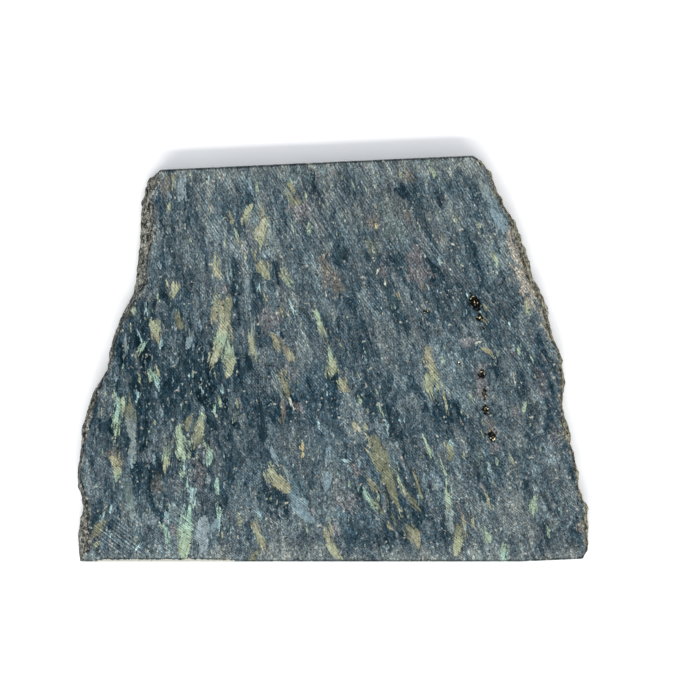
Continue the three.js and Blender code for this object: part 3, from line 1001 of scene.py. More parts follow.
    def roughened(self, points: np.ndarray, normals: np.ndarray) -> np.ndarray:
        """Move the wall's points in and out: lumps, splinters and crumbs, and chips on the corners.

        Args:
            points: the wall's points in millimetres.
            normals: the outward direction at each point.

        Returns:
            The moved points, with the rims still in their planes.
        """
        along = self.fan.coordinates(points)
        sawn = self.sawn_share(points)
        move = self.lump.at(points)
        move += self.splinter.at(along)
        move += self.crumb.at(points)
        move = move * (1 - sawn) - self.sawn_wear * sawn * np.abs(self.wear_pattern.at(points))
        corner = 1 - smoothstep(np.minimum(points[:, 2], TOP - points[:, 2]), 0.0, self.corner)
        chips = smoothstep(self.small_chips.at(points), *self.small_chip_levels)
        chips += smoothstep(self.large_chips.at(points), *self.large_chip_levels)
        move -= self.chip * corner * chips
        front = points[:, 2] > TOP - self.in_plane
        direction = normals.copy()
        direction[front | (points[:, 2] < self.in_plane), 2] = 0
        moved = points + direction * move[:, None]
        moved[:, 1] += self.bevel * self.bevelled(points) * front
        return moved

    def bevelled(self, points: np.ndarray) -> np.ndarray:
        """Tell where the long sawn edge has a bevel, from 0 to 1: on its left part only, where the highlight
        is painted.
        """
        along = smoothstep(points[:, 0], *self.bevel_start) * (1 - smoothstep(points[:, 0], *self.bevel_end))
        return along * (points[:, 1] < LONG_EDGE_Y + self.bevel_reach)

    def rim_loop(self, wall: Shell, height: float) -> list[int]:
        """List the wall's rim points at a height, in order round the slab.

        Args:
            wall: the wall's mesh.
            height: the height in millimetres.

        Returns:
            The points' numbers.
        """
        count = {}
        for a, b, c in wall.triangles.tolist():
            for edge in ((a, b), (b, c), (c, a)):
                count[edge] = count.get(edge, 0) + 1
        open_edges = [(a, b) for a, b in count if (b, a) not in count]
        following = {b: a for a, b in open_edges if abs(wall.points[a][2] - height) < self.near_plane}
        loop = [next(iter(following))]
        while following[loop[-1]] != loop[0]:
            loop.append(following[loop[-1]])
        return loop

    def grid(self, step: float) -> np.ndarray:
        """Lay out points at even spacing, row by row and staggered, over the slab's whole box.

        Args:
            step: the spacing in millimetres.

        Returns:
            The points, one row each, a little shifted by chance.
        """
        rows = np.arange(LOW[1], HIGH[1], step * math.sqrt(3) / 2)
        columns = np.arange(LOW[0], HIGH[0], step)
        x, y = np.meshgrid(columns, rows)
        x = x + np.where(np.arange(len(rows)) % 2, step / 2, 0)[:, None]
        points = np.column_stack([x.ravel(), y.ravel(), np.zeros(x.size)])
        for axis, seed in enumerate(self.jitter_seeds):
            points[:, axis] += self.jitter * step * noise(points, step * self.jitter_size, seed)
        return points

    def inside(self, points: np.ndarray, loop: np.ndarray) -> np.ndarray:
        """Tell which points lie inside a closed outline, by counting crossings.

        Args:
            points: one position in each row.
            loop: the outline's points, in order.

        Returns:
            True for each point that is inside.
        """
        result = np.zeros(len(points), bool)
        x, y = points[:, 0], points[:, 1]
        for (x0, y0), (x1, y1) in zip(loop[:, :2], np.roll(loop[:, :2], -1, axis=0)):
            if y0 == y1:
                continue
            band = (y0 > y) != (y1 > y)
            result ^= band & (x < (x1 - x0) * (y - y0) / (y1 - y0) + x0)
        return result

    def clear_of(self, points: np.ndarray, loop: np.ndarray, step: float) -> np.ndarray:
        """Keep the points that are inside the outline and not too close to it for their spacing."""
        points = points[self.inside(points, loop)]
        return points[rim_distance(points, loop) > step * self.rim_gap]

    def front_points(self, loop: np.ndarray) -> np.ndarray:
        """Choose the front face's points: coarse at large, closer at blades, closest at pits.

        Args:
            loop: the face's outline.

        Returns:
            The points, sunk to the floors of the pits.
        """
        kept = []
        for finer, step in enumerate((self.face_step, self.blade_step, self.pit_step)):
            points = self.grid(step)
            level = np.where(self.marking.blades(points)[0] > -self.blade_border, 1, 0)
            level = np.where(self.pit_reach(points) < self.pit_border, 2, level)
            kept.append(self.clear_of(points[level == finer], loop, step))
        points = np.concatenate(kept)
        points[:, 2] = TOP - self.pit_depth(points)
        return points

    def back_points(self, loop: np.ndarray) -> np.ndarray:
        """Choose the back face's points."""
        return self.clear_of(self.grid(self.back_step), loop, self.back_step)

    def reaches(self, points: np.ndarray) -> list[tuple[Pit, np.ndarray]]:
        """Measure the points against every pit.

        Args:
            points: one position in each row.

        Returns:
            Each pit with the points' distances from its middle, as shares of its half size.
        """
        wobble = 1 + self.pit_outline.at(points * [1, 1, 0])
        found = []
        for pit in PITS:
            across, along = local_axes(points, pit)
            found.append((pit, np.hypot(across / (pit.width / 2), along / (pit.length / 2)) * wobble))
        return found

    def pit_reach(self, points: np.ndarray) -> np.ndarray:
        """Give each point's distance from the nearest pit's middle, as a share of its half size."""
        far = np.full(len(points), self.far_from_pits)
        return np.min([far, *(reach for _, reach in self.reaches(points))], axis=0)

    def pit_depth(self, points: np.ndarray) -> np.ndarray:
        """Give the depth of the pits at each point.

        Args:
            points: one position in each row.

        Returns:
            The depth in millimetres, 0 outside the pits.
        """
        depth = np.zeros(len(points))
        for pit, reach in self.reaches(points):
            depth = np.maximum(depth, pit.depth * np.sqrt(np.clip(1 - reach**2, 0, 1)))
        return depth * (1 + self.pit_floor.at(points * [1, 1, 0]))

    def close(self, shell: Shell, loop: list[int], inner: np.ndarray, upwards: bool) -> Shell:
        """Close one side of the shell with a face through the rim and the inner points.

        Args:
            shell: the mesh so far.
            loop: the rim's points, in order.
            inner: further points of the face.
            upwards: whether the face looks up.

        Returns:
            The mesh with the face added.
        """
        flat = [Vector(p[:2]) for p in shell.points[loop]] + [Vector(p[:2]) for p in inner]
        ring = list(range(len(loop)))
        made = delaunay_2d_cdt(flat, [], [ring], INSIDE, MERGE)
        start = len(shell.points)
        name = [sources[0] for sources in made[3]]
        place = [loop[i] if i < len(loop) else start + i - len(loop) for i in name]
        corners = np.array([[place[i] for i in face] for face in made[2]])
        points = np.concatenate([shell.points, inner])
        a, b, c = (points[corners[:, i], :2] for i in range(3))
        turn = (b[:, 0] - a[:, 0]) * (c[:, 1] - a[:, 1]) - (b[:, 1] - a[:, 1]) * (c[:, 0] - a[:, 0])
        wrong = (turn > 0) != upwards
        corners[wrong] = corners[wrong][:, ::-1]
        return Shell(points, np.concatenate([shell.triangles, corners]))

    def mark(self, mesh: bpy.types.Mesh, points: np.ndarray, loop: np.ndarray, wall_count: int) -> None:
        """Write what the finish reads at each point.

        These are its places along the grain and the saw marks, the broad zone it is in, its distances
        from the rims, the pits' depth, how far inside a blade, a patch or the crust it lies, with their
        tints, and where the highlight on the bevel is painted.

        Args:
            mesh: the stone's mesh.
            points: its points in millimetres.
            loop: the front face's outline.
            wall_count: how many of the points belong to the walls; they come first.
        """
        height = points[:, 2] - TOP
        on_front = smoothstep(height, *self.colour_depth)
        fade = self.colour_fade * (1 - on_front)
        blade, blade_tint, blade_place = self.marking.blades(points)
        patch, patch_tint = self.marking.patches(points, PATCHES)
        crust = self.marking.patches(points, CRUSTS)[0]
        is_wall = np.arange(len(points)) < wall_count
        sawn = np.where(is_wall, self.sawn_share(points), 1.0)
        broken = np.where(is_wall, 1 - sawn, 0.0)
        broken_rim = rim_distance(points, loop[self.sawn_share(loop) < 0.5])
        sawn_rim = rim_distance(points, loop[self.sawn_share(loop) > 0.5])
        pit = np.where(is_wall | (points[:, 2] < TOP / 2), 0.0, -height)
        # Painted highlight: the bevel is real, and its pale colour stands in for the key light falling on
        # it.
        bevel_highlight = self.bevelled(points) * is_wall * smoothstep(height, *self.bevel_highlight_depth)
        bevel_highlight = np.where(height > -self.near_plane, 0.0, bevel_highlight)
        write(mesh, "grain", "FLOAT_VECTOR", "vector", self.fan.coordinates(points))
        write(mesh, "saw", "FLOAT_VECTOR", "vector", self.saw.coordinates(points))
        write(mesh, "zone", "FLOAT_COLOR", "color", self.marking.zones(points))
        write(mesh, "edge", "FLOAT_VECTOR", "vector", np.column_stack([broken_rim, broken, sawn_rim]))
        write(mesh, "pit", "FLOAT", "value", pit)
        write(mesh, "blade", "FLOAT", "value", np.where(on_front > 0, blade - fade, Marking.outside))
        write(mesh, "patch", "FLOAT", "value", np.where(on_front > 0, patch - fade, Marking.outside))
        write(mesh, "rind", "FLOAT", "value", crust)
        write(mesh, "blade_tint", "FLOAT_COLOR", "color", blade_tint)
        write(mesh, "blade_place", "FLOAT_VECTOR", "vector", blade_place)
        write(mesh, "bevel_highlight", "FLOAT", "value", bevel_highlight)
        write(mesh, "patch_tint", "FLOAT_COLOR", "color", patch_tint)


def write(mesh: bpy.types.Mesh, name: str, kind: str, field: str, values: np.ndarray) -> None:
    """Store one value for each point of a mesh, under a name that materials can read."""
    layer = mesh.attributes.new(name, kind, "POINT")
    layer.data.foreach_set(field, np.ascontiguousarray(values, np.float32).ravel())


def rim_distance(points: np.ndarray, loop: np.ndarray) -> np.ndarray:
    """Measure each point's distance in plan from the nearest point of an outline.

    Args:
        points: one position in each row.
        loop: the outline's points.

    Returns:
        The distances in millimetres.
    """
    tree = KDTree(len(loop))
    for number, place in enumerate(loop):
        tree.insert((place[0], place[1], 0), number)
    tree.balance()
    return np.array([tree.find((p[0], p[1], 0))[2] for p in points])


def add(tree: Tree, kind: str, settings: dict | None = None, links: dict | None = None) -> bpy.types.Node:
    """Add a node to a tree.

    Args:
        tree: the tree that gets it.
        kind: the node's type.
        settings: properties to set on it.
        links: for each input, by name or number, a socket to link to it or a value to set.

    Returns:
        The node.
    """
    node = tree.nodes.new(kind)
    for name, value in (settings or {}).items():
        setattr(node, name, value)
    for key, value in (links or {}).items():
        if isinstance(value, bpy.types.NodeSocket):
            tree.links.new(value, node.inputs[key])
        else:
            node.inputs[key].default_value = value
    return node


def set_stops(ramp: bpy.types.Node, stops: Iterable[tuple[float, str]], stepped: bool = False) -> None:
    """Give a colour ramp its stops.

    Args:
        ramp: the ramp's node.
        stops: a place from 0 to 1 and an sRGB colour for each.
        stepped: whether each colour stays the same up to the next stop.
    """
    elements = ramp.color_ramp.elements
    ramp.color_ramp.interpolation = "CONSTANT" if stepped else "LINEAR"
    for number, (place, colour) in enumerate(stops):
        element = elements[number] if number < 2 else elements.new(place)
        element.position = place
        element.color = linear(colour)


class Lines(NamedTuple):
    """Fine lines: their width and length in millimetres, octaves of detail, and weight in a sum."""

    across: float
    along: float
    detail: float = 2.0
    weight: float = 1.0


class Crystals(NamedTuple):
    """Crystals that fill the rock: size across the grain, along it and through it, and weight in a sum."""

    across: float
    along: float
    deep: float
    weight: float = 1.0


class Bend(NamedTuple):
    """Waves that shift a place: their width and shift in millimetres, and how much longer they are along."""

    size: float
    reach: float
    stretch: float


class Spots(NamedTuple):
    """Small crystals that show in a share of the cells, each up to a reach of its cell's size."""

    cells: Crystals
    share: float
    reach: float
    strength: float = 1.0


class Fade(NamedTuple):
    """A change from one value to another, while what it follows goes from start to end."""

    start: float
    end: float
    before: float = 0.0
    after: float = 1.0

    def limits(self) -> dict[str, float]:
        """Give the four numbers as inputs of a Map Range node."""
        return {"From Min": self.start, "From Max": self.end, "To Min": self.before, "To Max": self.after}


@dataclass(frozen=True)
class NuummiteFinish:
    """Anthophyllite and gedrite rock, sawn and left unpolished.

    The surface is satin rather than glossy: felted dark blades with a faint sheen, paler and golden ones
    between them, fine saw marks, and a rough, speckled, rusty skin on the broken edges. The mineral's
    index of refraction is about 1.64. The rock's finest fibres are thinner than the picture can show, so
    they are drawn coarser, about 0.2 mm across.
    """

    roughness: float = 0.56
    blade_roughness: float = 0.45
    skin_roughness: float = 0.85
    sheen_level: float = 0.03
    refraction: float = 1.64
    wavy: Bend = Bend(3.2, 0.9, 1.4)
    fray: Bend = Bend(0.5, 0.2, 1.8)

    # The ground's light and dark: large, middle and small crystals, clouds and long bands.
    middle_tone: float = 0.455
    large_tones: Crystals = Crystals(3.4, 9.0, 5.0, 0.27)
    middle_tones: Crystals = Crystals(1.0, 3.2, 1.6, 0.25)
    small_tones: Crystals = Crystals(0.42, 1.3, 0.6, 0.15)
    clouds: Lines = Lines(5.0, 11.0, 2.0, 0.36)
    bands: Lines = Lines(0.9, 12.0, 1.0, 0.46)

    # Its lean from slate blue to brown grey.
    middle_warmth: float = 0.3
    large_warmths: Crystals = Crystals(2.6, 5.5, 4.0, 0.4)
    middle_warmths: Crystals = Crystals(0.8, 2.2, 1.4, 0.22)
    warm_clouds: Lines = Lines(7.0, 9.0, 2.0, 0.8)
    cool_ramp: Ramp = (
        (0.0, "#01161e"),
        (0.22, "#172d37"),
        (0.45, "#3b4b52"),
        (0.65, "#516165"),
        (0.85, "#6d7b7b"),
        (1.0, "#9ba29d"),
    )
    warm_ramp: Ramp = (
        (0.0, "#08161b"),
        (0.22, "#263439"),
        (0.45, "#4c5253"),
        (0.65, "#626561"),
        (0.85, "#7c7c72"),
        (1.0, "#a3a091"),
    )

    # Single grains and fibres: grit, then long fibres, short threads, strokes and mottling.
    grit: Crystals = Crystals(0.27, 0.4, 0.3, 0.5)
    felt: tuple[Lines, ...] = (
        Lines(0.24, 2.6, 2.0, 1.0),
        Lines(0.2, 0.36, 2.0, 3.3),
        Lines(0.18, 1.1, 2.0, 1.6),
        Lines(0.42, 0.5, 3.0, 1.4),
    )

    # Stains: how their borders are torn, and how far the ground's light and dark shows in them.
    stain_tears: tuple[Lines, ...] = (Lines(1.1, 2.6, 4.0, 4.6), Lines(0.2, 0.6, 2.0, 1.5))
    stain_border: Fade = Fade(-0.15, 0.35)
    stain_light: Fade = Fade(0.1, 0.9, 0.55, 1.45)

    # Flecks in three sizes, more of them in the richer zones.
    flecks_by_size: tuple[Spots, ...] = (
        Spots(Crystals(0.95, 3.6, 1.5), 0.30, 0.62, 0.62),
        Spots(Crystals(0.5, 1.9, 0.9), 0.26, 0.60, 0.55),
        Spots(Crystals(0.3, 0.9, 0.5), 0.2, 0.55, 0.32),
    )
    richness: float = 0.25
    fleck_border: Fade = Fade(-0.03, 0.08)
    fleck_tints: tuple[tuple[float, Tint], ...] = (
        (0.0, Tint.NAVY),
        (0.2, Tint.DEEP),
        (0.3, Tint.SKY),
        (0.45, Tint.GREY),
        (0.6, Tint.ROSE),
        (0.7, Tint.PALE_GREEN),
        (0.8, Tint.STRAW),
        (0.9, Tint.ICE),
    )

    # Large blades: frayed sides, splits along them, a dark border, and fibres and fractures inside.
    blade_fray: Lines = Lines(0.24, 2.2, 3.0, 1.7)
    blade_nicks: Lines = Lines(0.3, 0.5, 3.0, 0.6)
    blade_splits: Lines = Lines(0.5, 5.0, 2.0)
    split_depth: Fade = Fade(0.37, 0.46, 0.6, 0.0)
    blade_shadow: Fade = Fade(-0.3, 0.0, 1.0, 0.68)
    blade_border: Fade = Fade(-0.05, 0.11)
    blade_light: float = 0.86
    blade_fibres: Lines = Lines(0.2, 2.2, 3.0, 1.2)
    blade_fractures: Lines = Lines(0.9, 0.24, 2.0, 0.9)
    blade_blotches: Lines = Lines(0.7, 1.4, 3.0, 1.3)
    felt_in_blade: float = 0.35
    blade_cover: float = 0.9

    # Cleavage faces that catch the light, and dark pores.
    glint_bend: Bend = Bend(0.3, 0.35, 1.0)
    sprinkled: tuple[tuple[Spots, str], ...] = (
        (Spots(Crystals(1.5, 2.25, 1.0), 0.024, 0.2), "#b4bbb6"),
        (Spots(Crystals(1.1, 1.65, 1.0), 0.2, 0.2), "#0b1217"),
    )
    glint_border: Fade = Fade(-0.03, 0.04)

    # Saw marks: even lines 0.7 mm apart and deeper scores 1.15 mm apart, with finer scratches beside them.
    saw_spacing: float = 0.7
    saw_weight: float = 0.9
    score_spacing: float = 1.15
    score_weight: float = 0.7
    waver: float = 1.2
    waver_detail: float = 2.0
    waver_scale: float = 0.3
    saw_arcs: Lines = Lines(0.42, 14.0, 1.0, 1.4)
    scratches: Lines = Lines(0.2, 5.0, 2.0, 1.8)
    scratches_in_scores: float = 1.2
    saw_areas: Lines = Lines(7.0, 9.0, 1.0)
    saw_strength: Fade = Fade(0.42, 0.62, 0.2, 0.6)

    # The skin of the broken edges: speckled grey, rusty gold at the right, spread over the rims.
    coarse_speckle: Lines = Lines(0.7, 0.9)
    fine_speckle: Lines = Lines(0.26, 0.3, 2.0, 0.8)
    skin_ramp: Ramp = (
        (0.3, "#101615"),
        (0.4, "#333836"),
        (0.49, "#60635f"),
        (0.57, "#7e7f77"),
        (0.68, "#b0aea2"),
    )
    rusty_ramp: Ramp = (
        (0.3, "#2a2922"),
        (0.4, "#5c5849"),
        (0.49, "#8a8672"),
        (0.57, "#a8a48c"),
        (0.68, "#c4c0a8"),
    )
    cover: Lines = Lines(1.6, 2.6, 3.0)
    cover_on_wall: float = 4.0
    cover_on_rim: float = 2.2
    speckle_on_rim: float = 2.0
    worn: Fade = Fade(-1.9, -0.2, 0.62, 0.95)
    rusty_side: Fade = Fade(50.0, 85.0, 0.15, 0.9)
    rind_reach: Fade = Fade(0.42, 0.68, 0.0, 0.9)
    rind_border: Fade = Fade(-0.25, 0.35, 0.0, 0.85)
    weather: Lines = Lines(1.9, 2.6)
    weather_shade: Fade = Fade(0.35, 0.65, 0.68, 1.22)

    # Dark corners of the front face, and the painted highlight on the bevel, which faces the key light.
    sawn_corner: Fade = Fade(0.02, 0.3, 0.35, 1.0)
    broken_corner: Fade = Fade(0.05, 0.35, 0.55, 1.0)
    bevel_highlight_breakup: Lines = Lines(0.7, 0.9, 3.0, 2.2)
    bevel_highlight_border: Fade = Fade(0.25, 0.6, 0.0, 0.85)

    # The brown-black darkening of the pits, stronger where they are deeper.
    pit_darkening: str = "#0d0c0a"
    pit_darkening_tears: Lines = Lines(0.4, 0.5, 3.0, 2.2)
    pit_darkening_border: Fade = Fade(0.25, 0.45)

    # Relief in millimetres, on the sawn faces and on the broken walls.
    relief_fibres: Lines = Lines(0.22, 1.2)
    relief_crumbs: Lines = Lines(0.25, 0.3, 3.0)
    fibre_heights: tuple[float, float] = (0.05, 0.3)
    crumb_heights: tuple[float, float] = (0.03, 0.5)
    saw_height: float = 0.02

    def material(self) -> bpy.types.Material:
        """Make the material.

        Returns:
            The material.
        """
        material = bpy.data.materials.new("sawn_nuummite")
        material.use_nodes = True
        tree = material.node_tree
        tree.nodes.clear()
        grain = add(tree, ATTRIBUTE, {"attribute_name": "grain"}).outputs["Vector"]
        edge_place = add(tree, ATTRIBUTE, {"attribute_name": "edge"}).outputs["Vector"]
        edge = add(tree, "ShaderNodeSeparateXYZ", None, {0: edge_place})
        area = add(tree, ATTRIBUTE, {"attribute_name": "zone"})
        zone = add(tree, "ShaderNodeSeparateColor", None, {0: area.outputs["Color"]})
        bent = self.bent(tree, grain, self.wavy)
        frayed = self.bent(tree, bent, self.fray)
        tone = self.tone(tree, bent, frayed, zone.outputs[0])
        fine = self.texture(tree, grain)
        warmth = self.warmth(tree, bent, frayed, zone.outputs[1])
        colour = self.ground(tree, tone, warmth)
        colour = self.patches(tree, colour, grain, tone)
        colour = self.flecks(tree, colour, frayed, zone.outputs[2])
        colour, in_blade = self.blades(tree, colour, grain, fine)
        colour = self.glints(tree, colour, grain)
        colour, scratches = self.saw_marks(tree, colour, area.outputs["Alpha"])
        colour = self.edges(tree, colour, grain, edge)
        colour = self.hollows(tree, colour, grain)
        normal = self.relief(tree, grain, frayed, scratches, edge)
        gloss = {SHARE: in_blade, FIRST: self.roughness, SECOND: self.blade_roughness}
        sawn = add(tree, MIX, None, gloss).outputs[0]
        dullness = {SHARE: edge.outputs[1], FIRST: sawn, SECOND: self.skin_roughness}
        rough = add(tree, MIX, None, dullness)
        shader = add(
            tree,
            "ShaderNodeBsdfPrincipled",
            None,
            {
                "Base Color": colour,
                "Roughness": rough.outputs[0],
                "IOR": self.refraction,
                "Specular IOR Level": self.sheen_level,
                "Normal": normal,
            },
        )
        add(tree, "ShaderNodeOutputMaterial", None, {"Surface": shader.outputs[0]})
        return material

    def bent(self, tree: Tree, place: Socket, bend: Bend) -> Socket:
        """Shift a place by noise, so that what is drawn there gets a wavy or frayed outline.

        Args:
            tree: the material's tree.
            place: where in the rock.
            bend: the waves.

        Returns:
            Socket with the shifted place.
        """
        size, reach, stretch = bend
        scale = (1 / size, 1 / (size * stretch), 1 / size)
        scaled = add(tree, VECTOR_MATH, MULTIPLY, {0: place, 1: scale})
        wave = add(
            tree, "ShaderNodeTexNoise", None, {"Vector": scaled.outputs[0], "Scale": 1.0, "Detail": 2.0}
        )
        centred = add(tree, VECTOR_MATH, SUBTRACT, {0: wave.outputs["Color"], 1: (0.5,) * 3})
        shift = (2 * reach, 2 * reach * stretch, 2 * reach)
        return add(tree, VECTOR_MATH, MULTIPLY_ADD, {0: centred.outputs[0], 1: shift, 2: place}).outputs[0]

    def cells(
        self, tree: Tree, place: Socket, crystals: Crystals, metric: str = "EUCLIDEAN"
    ) -> bpy.types.Node:
        """Divide the rock into long crystals.

        Args:
            tree: the material's tree.
            place: where in the rock.
            crystals: the crystals' sizes.
            metric: how distance inside a crystal is counted.

        Returns:
            The node, with a random colour for each crystal and the distance from its middle.
        """
        scale = (1 / crystals.across, 1 / crystals.along, 1 / crystals.deep)
        scaled = add(tree, VECTOR_MATH, MULTIPLY, {0: place, 1: scale})
        return add(
            tree,
            "ShaderNodeTexVoronoi",
            {"distance": metric},
            {"Vector": scaled.outputs[0], "Scale": 1.0},
        )

    def drawn(self, tree: Tree, place: Socket, crystals: Crystals, channel: int) -> Layer:
        """Draw a random number for each crystal.

        Args:
            tree: the material's tree.
            place: where in the rock.
            crystals: the crystals' sizes and weight.
            channel: which of each crystal's three random numbers is taken.

        Returns:
            Socket with the number, and its weight.
        """
        colour = self.cells(tree, place, crystals).outputs["Color"]
        draws = add(tree, "ShaderNodeSeparateColor", None, {0: colour})
        return draws.outputs[channel], crystals.weight

    def streaks(self, tree: Tree, place: Socket, lines: Lines) -> Socket:
        """Draw fine lines along the grain.

        Args:
            tree: the material's tree.
            place: where in the rock.
            lines: their sizes.

        Returns:
            Socket with their strength, around 0.5.
        """
        scale = (1 / lines.across, 1 / lines.along, 1 / lines.across)
        scaled = add(tree, VECTOR_MATH, MULTIPLY, {0: place, 1: scale})
        return add(
            tree,
            "ShaderNodeTexNoise",
            None,
            {"Vector": scaled.outputs[0], "Scale": 1.0, "Detail": lines.detail},
        ).outputs[0]

    def layer(self, tree: Tree, place: Socket, lines: Lines) -> Layer:
        """Draw fine lines, and give their socket and their weight."""
        return self.streaks(tree, place, lines), lines.weight

    def total(self, tree: Tree, start: Socket | float, layers: Iterable[Layer]) -> Socket:
        """Add up layers, each taken from its middle value of 0.5 and times its weight.

        Args:
            tree: the material's tree.
            start: what they are added to.
            layers: sockets and their weights.

        Returns:
            Socket with the sum.
        """
        sum_so_far = start
        for layer, weight in layers:
            centred = add(tree, MATH, SUBTRACT, {0: layer, 1: 0.5})
            sum_so_far = add(
                tree,
                MATH,
                MULTIPLY_ADD,
                {0: centred.outputs[0], 1: weight, 2: sum_so_far},
            ).outputs[0]
        return sum_so_far

    def tone(self, tree: Tree, bent: Socket, frayed: Socket, zone: Socket) -> Socket:
        """Work out how light each crystal of the ground is, from 0 to 1.

        Args:
            tree: the material's tree.
            bent: place with wavy borders.
            frayed: the same with frayed borders.
            zone: how much lighter the broad area is, with the painted glare by the sawn edges.

        Returns:
            Socket with the tone.
        """
        start = add(tree, MATH, None, {0: zone, 1: self.middle_tone})
        layers = (
            self.drawn(tree, bent, self.large_tones, 0),
            self.drawn(tree, frayed, self.middle_tones, 0),
            self.drawn(tree, frayed, self.small_tones, 0),
            self.layer(tree, bent, self.clouds),
            self.layer(tree, frayed, self.bands),
        )
        return self.total(tree, start.outputs[0], layers)

    def texture(self, tree: Tree, grain: Socket) -> Socket:
        """Work out the light and dark of single fibres and grains, as a factor around 1.

        Args:
            tree: the material's tree.
            grain: place in the grain.

        Returns:
            Socket with the factor.
        """
        felt = [self.layer(tree, grain, lines) for lines in self.felt]
        power = self.total(tree, 0.0, (self.drawn(tree, grain, self.grit, 0), *felt))
        return add(tree, MATH, EXPONENT, {0: power}).outputs[0]

    def warmth(self, tree: Tree, bent: Socket, frayed: Socket, zone: Socket) -> Socket:
        """Work out how far the ground leans from slate blue to brown grey, from 0 to 1.

        Args:
            tree: the material's tree.
            bent: place with wavy borders.
            frayed: the same with frayed borders.
            zone: how much warmer the broad area is, with the painted glare by the sawn edges.

        Returns:
            Socket with the warmth.
        """
        start = add(tree, MATH, None, {0: zone, 1: self.middle_warmth})
        layers = (
            self.drawn(tree, bent, self.large_warmths, 1),
            self.drawn(tree, frayed, self.middle_warmths, 1),
            self.layer(tree, bent, self.warm_clouds),
        )
        return self.total(tree, start.outputs[0], layers)

    def ground(self, tree: Tree, tone: Socket, warmth: Socket) -> Socket:
        """Colour the ground: slate blue blades in the cool parts, brown and olive grey in the warm ones.

        Args:
            tree: the material's tree.
            tone: how light the ground is.
            warmth: how warm it is.

        Returns:
            Socket with the colour.
        """
        cool = add(tree, "ShaderNodeValToRGB", None, {0: tone})
        set_stops(cool, self.cool_ramp)
        warm = add(tree, "ShaderNodeValToRGB", None, {0: tone})
        set_stops(warm, self.warm_ramp)
        sides = {SHARE: warmth, UNDER: cool.outputs[0], OVER: warm.outputs[0]}
        return add(tree, MIX, RGBA, sides).outputs[MIXED]

    def patches(self, tree: Tree, colour: Socket, grain: Socket, tone: Socket) -> Socket:
        """Lay the stains over the ground, broken up at their borders, with the ground's texture in them.

        Args:
            tree: the material's tree.
            colour: the colour so far.
            grain: place in the grain.
            tone: how light the ground is.

        Returns:
            Socket with the colour.
        """
        field = add(tree, ATTRIBUTE, {"attribute_name": "patch"}).outputs["Fac"]
        tint = add(tree, ATTRIBUTE, {"attribute_name": "patch_tint"})
        torn = self.total(tree, field, [self.layer(tree, grain, lines) for lines in self.stain_tears])
        amount = add(tree, RANGE, SMOOTH, {"Value": torn, **self.stain_border.limits()})
        strength = add(tree, MATH, MULTIPLY, {0: amount.outputs[0], 1: tint.outputs["Alpha"]})
        light = add(tree, RANGE, None, {"Value": tone, **self.stain_light.limits()})
        textured = add(tree, VECTOR_MATH, SCALE, {0: tint.outputs["Color"], "Scale": light.outputs[0]})
        layers = {SHARE: strength.outputs[0], UNDER: colour, OVER: textured.outputs[0]}
        return add(tree, MIX, RGBA, layers).outputs[MIXED]

    def spots(
        self, tree: Tree, place: Socket, spots: Spots, channel: int, share: Socket | float, border: Fade
    ) -> tuple[Socket, bpy.types.Node]:
        """Shape a small crystal in some of the cells.

        Args:
            tree: the material's tree.
            place: where in the rock.
            spots: the crystals.
            channel: which of a cell's random numbers says whether it has a crystal.
            share: how many of the cells have one.
            border: how its border fades.

        Returns:
            Socket that is 1 inside a crystal and 0 outside, and the node with the random numbers.
        """
        cell = self.cells(tree, place, spots.cells, "MANHATTAN")
        draw = add(tree, "ShaderNodeSeparateColor", None, {0: cell.outputs["Color"]})
        there = add(tree, MATH, LESS_THAN, {0: draw.outputs[channel], 1: share})
        size = add(tree, MATH, MULTIPLY, {0: draw.outputs[1], 1: spots.reach})
        sides = {0: size.outputs[0], 1: cell.outputs["Distance"]}
        inner = add(tree, MATH, SUBTRACT, sides)
        shape = add(tree, RANGE, SMOOTH, {"Value": inner.outputs[0], **border.limits()})
        both = {0: shape.outputs[0], 1: there.outputs[0]}
        return add(tree, MATH, MULTIPLY, both).outputs[0], draw

    def flecks(self, tree: Tree, colour: Socket, place: Socket, zone: Socket) -> Socket:
        """Scatter small pale, golden and dark blades between the main ones.

        Args:
            tree: the material's tree.
            colour: the colour so far.
            place: place with frayed borders.
            zone: how much richer in flecks the broad area is.

        Returns:
            Socket with the colour.
        """
        for flecks in self.flecks_by_size:
            richer = {0: zone, 1: self.richness, 2: flecks.share}
            share = add(tree, MATH, MULTIPLY_ADD, richer).outputs[0]
            amount, draw = self.spots(tree, place, flecks, 2, share, self.fleck_border)
            soft = add(tree, MATH, MULTIPLY, {0: amount, 1: flecks.strength})
            tint = add(tree, "ShaderNodeValToRGB", None, {0: draw.outputs[0]})
            set_stops(tint, ((start, choice.value) for start, choice in self.fleck_tints), True)
            layers = {SHARE: soft.outputs[0], UNDER: colour, OVER: tint.outputs[0]}
            colour = add(tree, MIX, RGBA, layers).outputs[MIXED]
        return colour

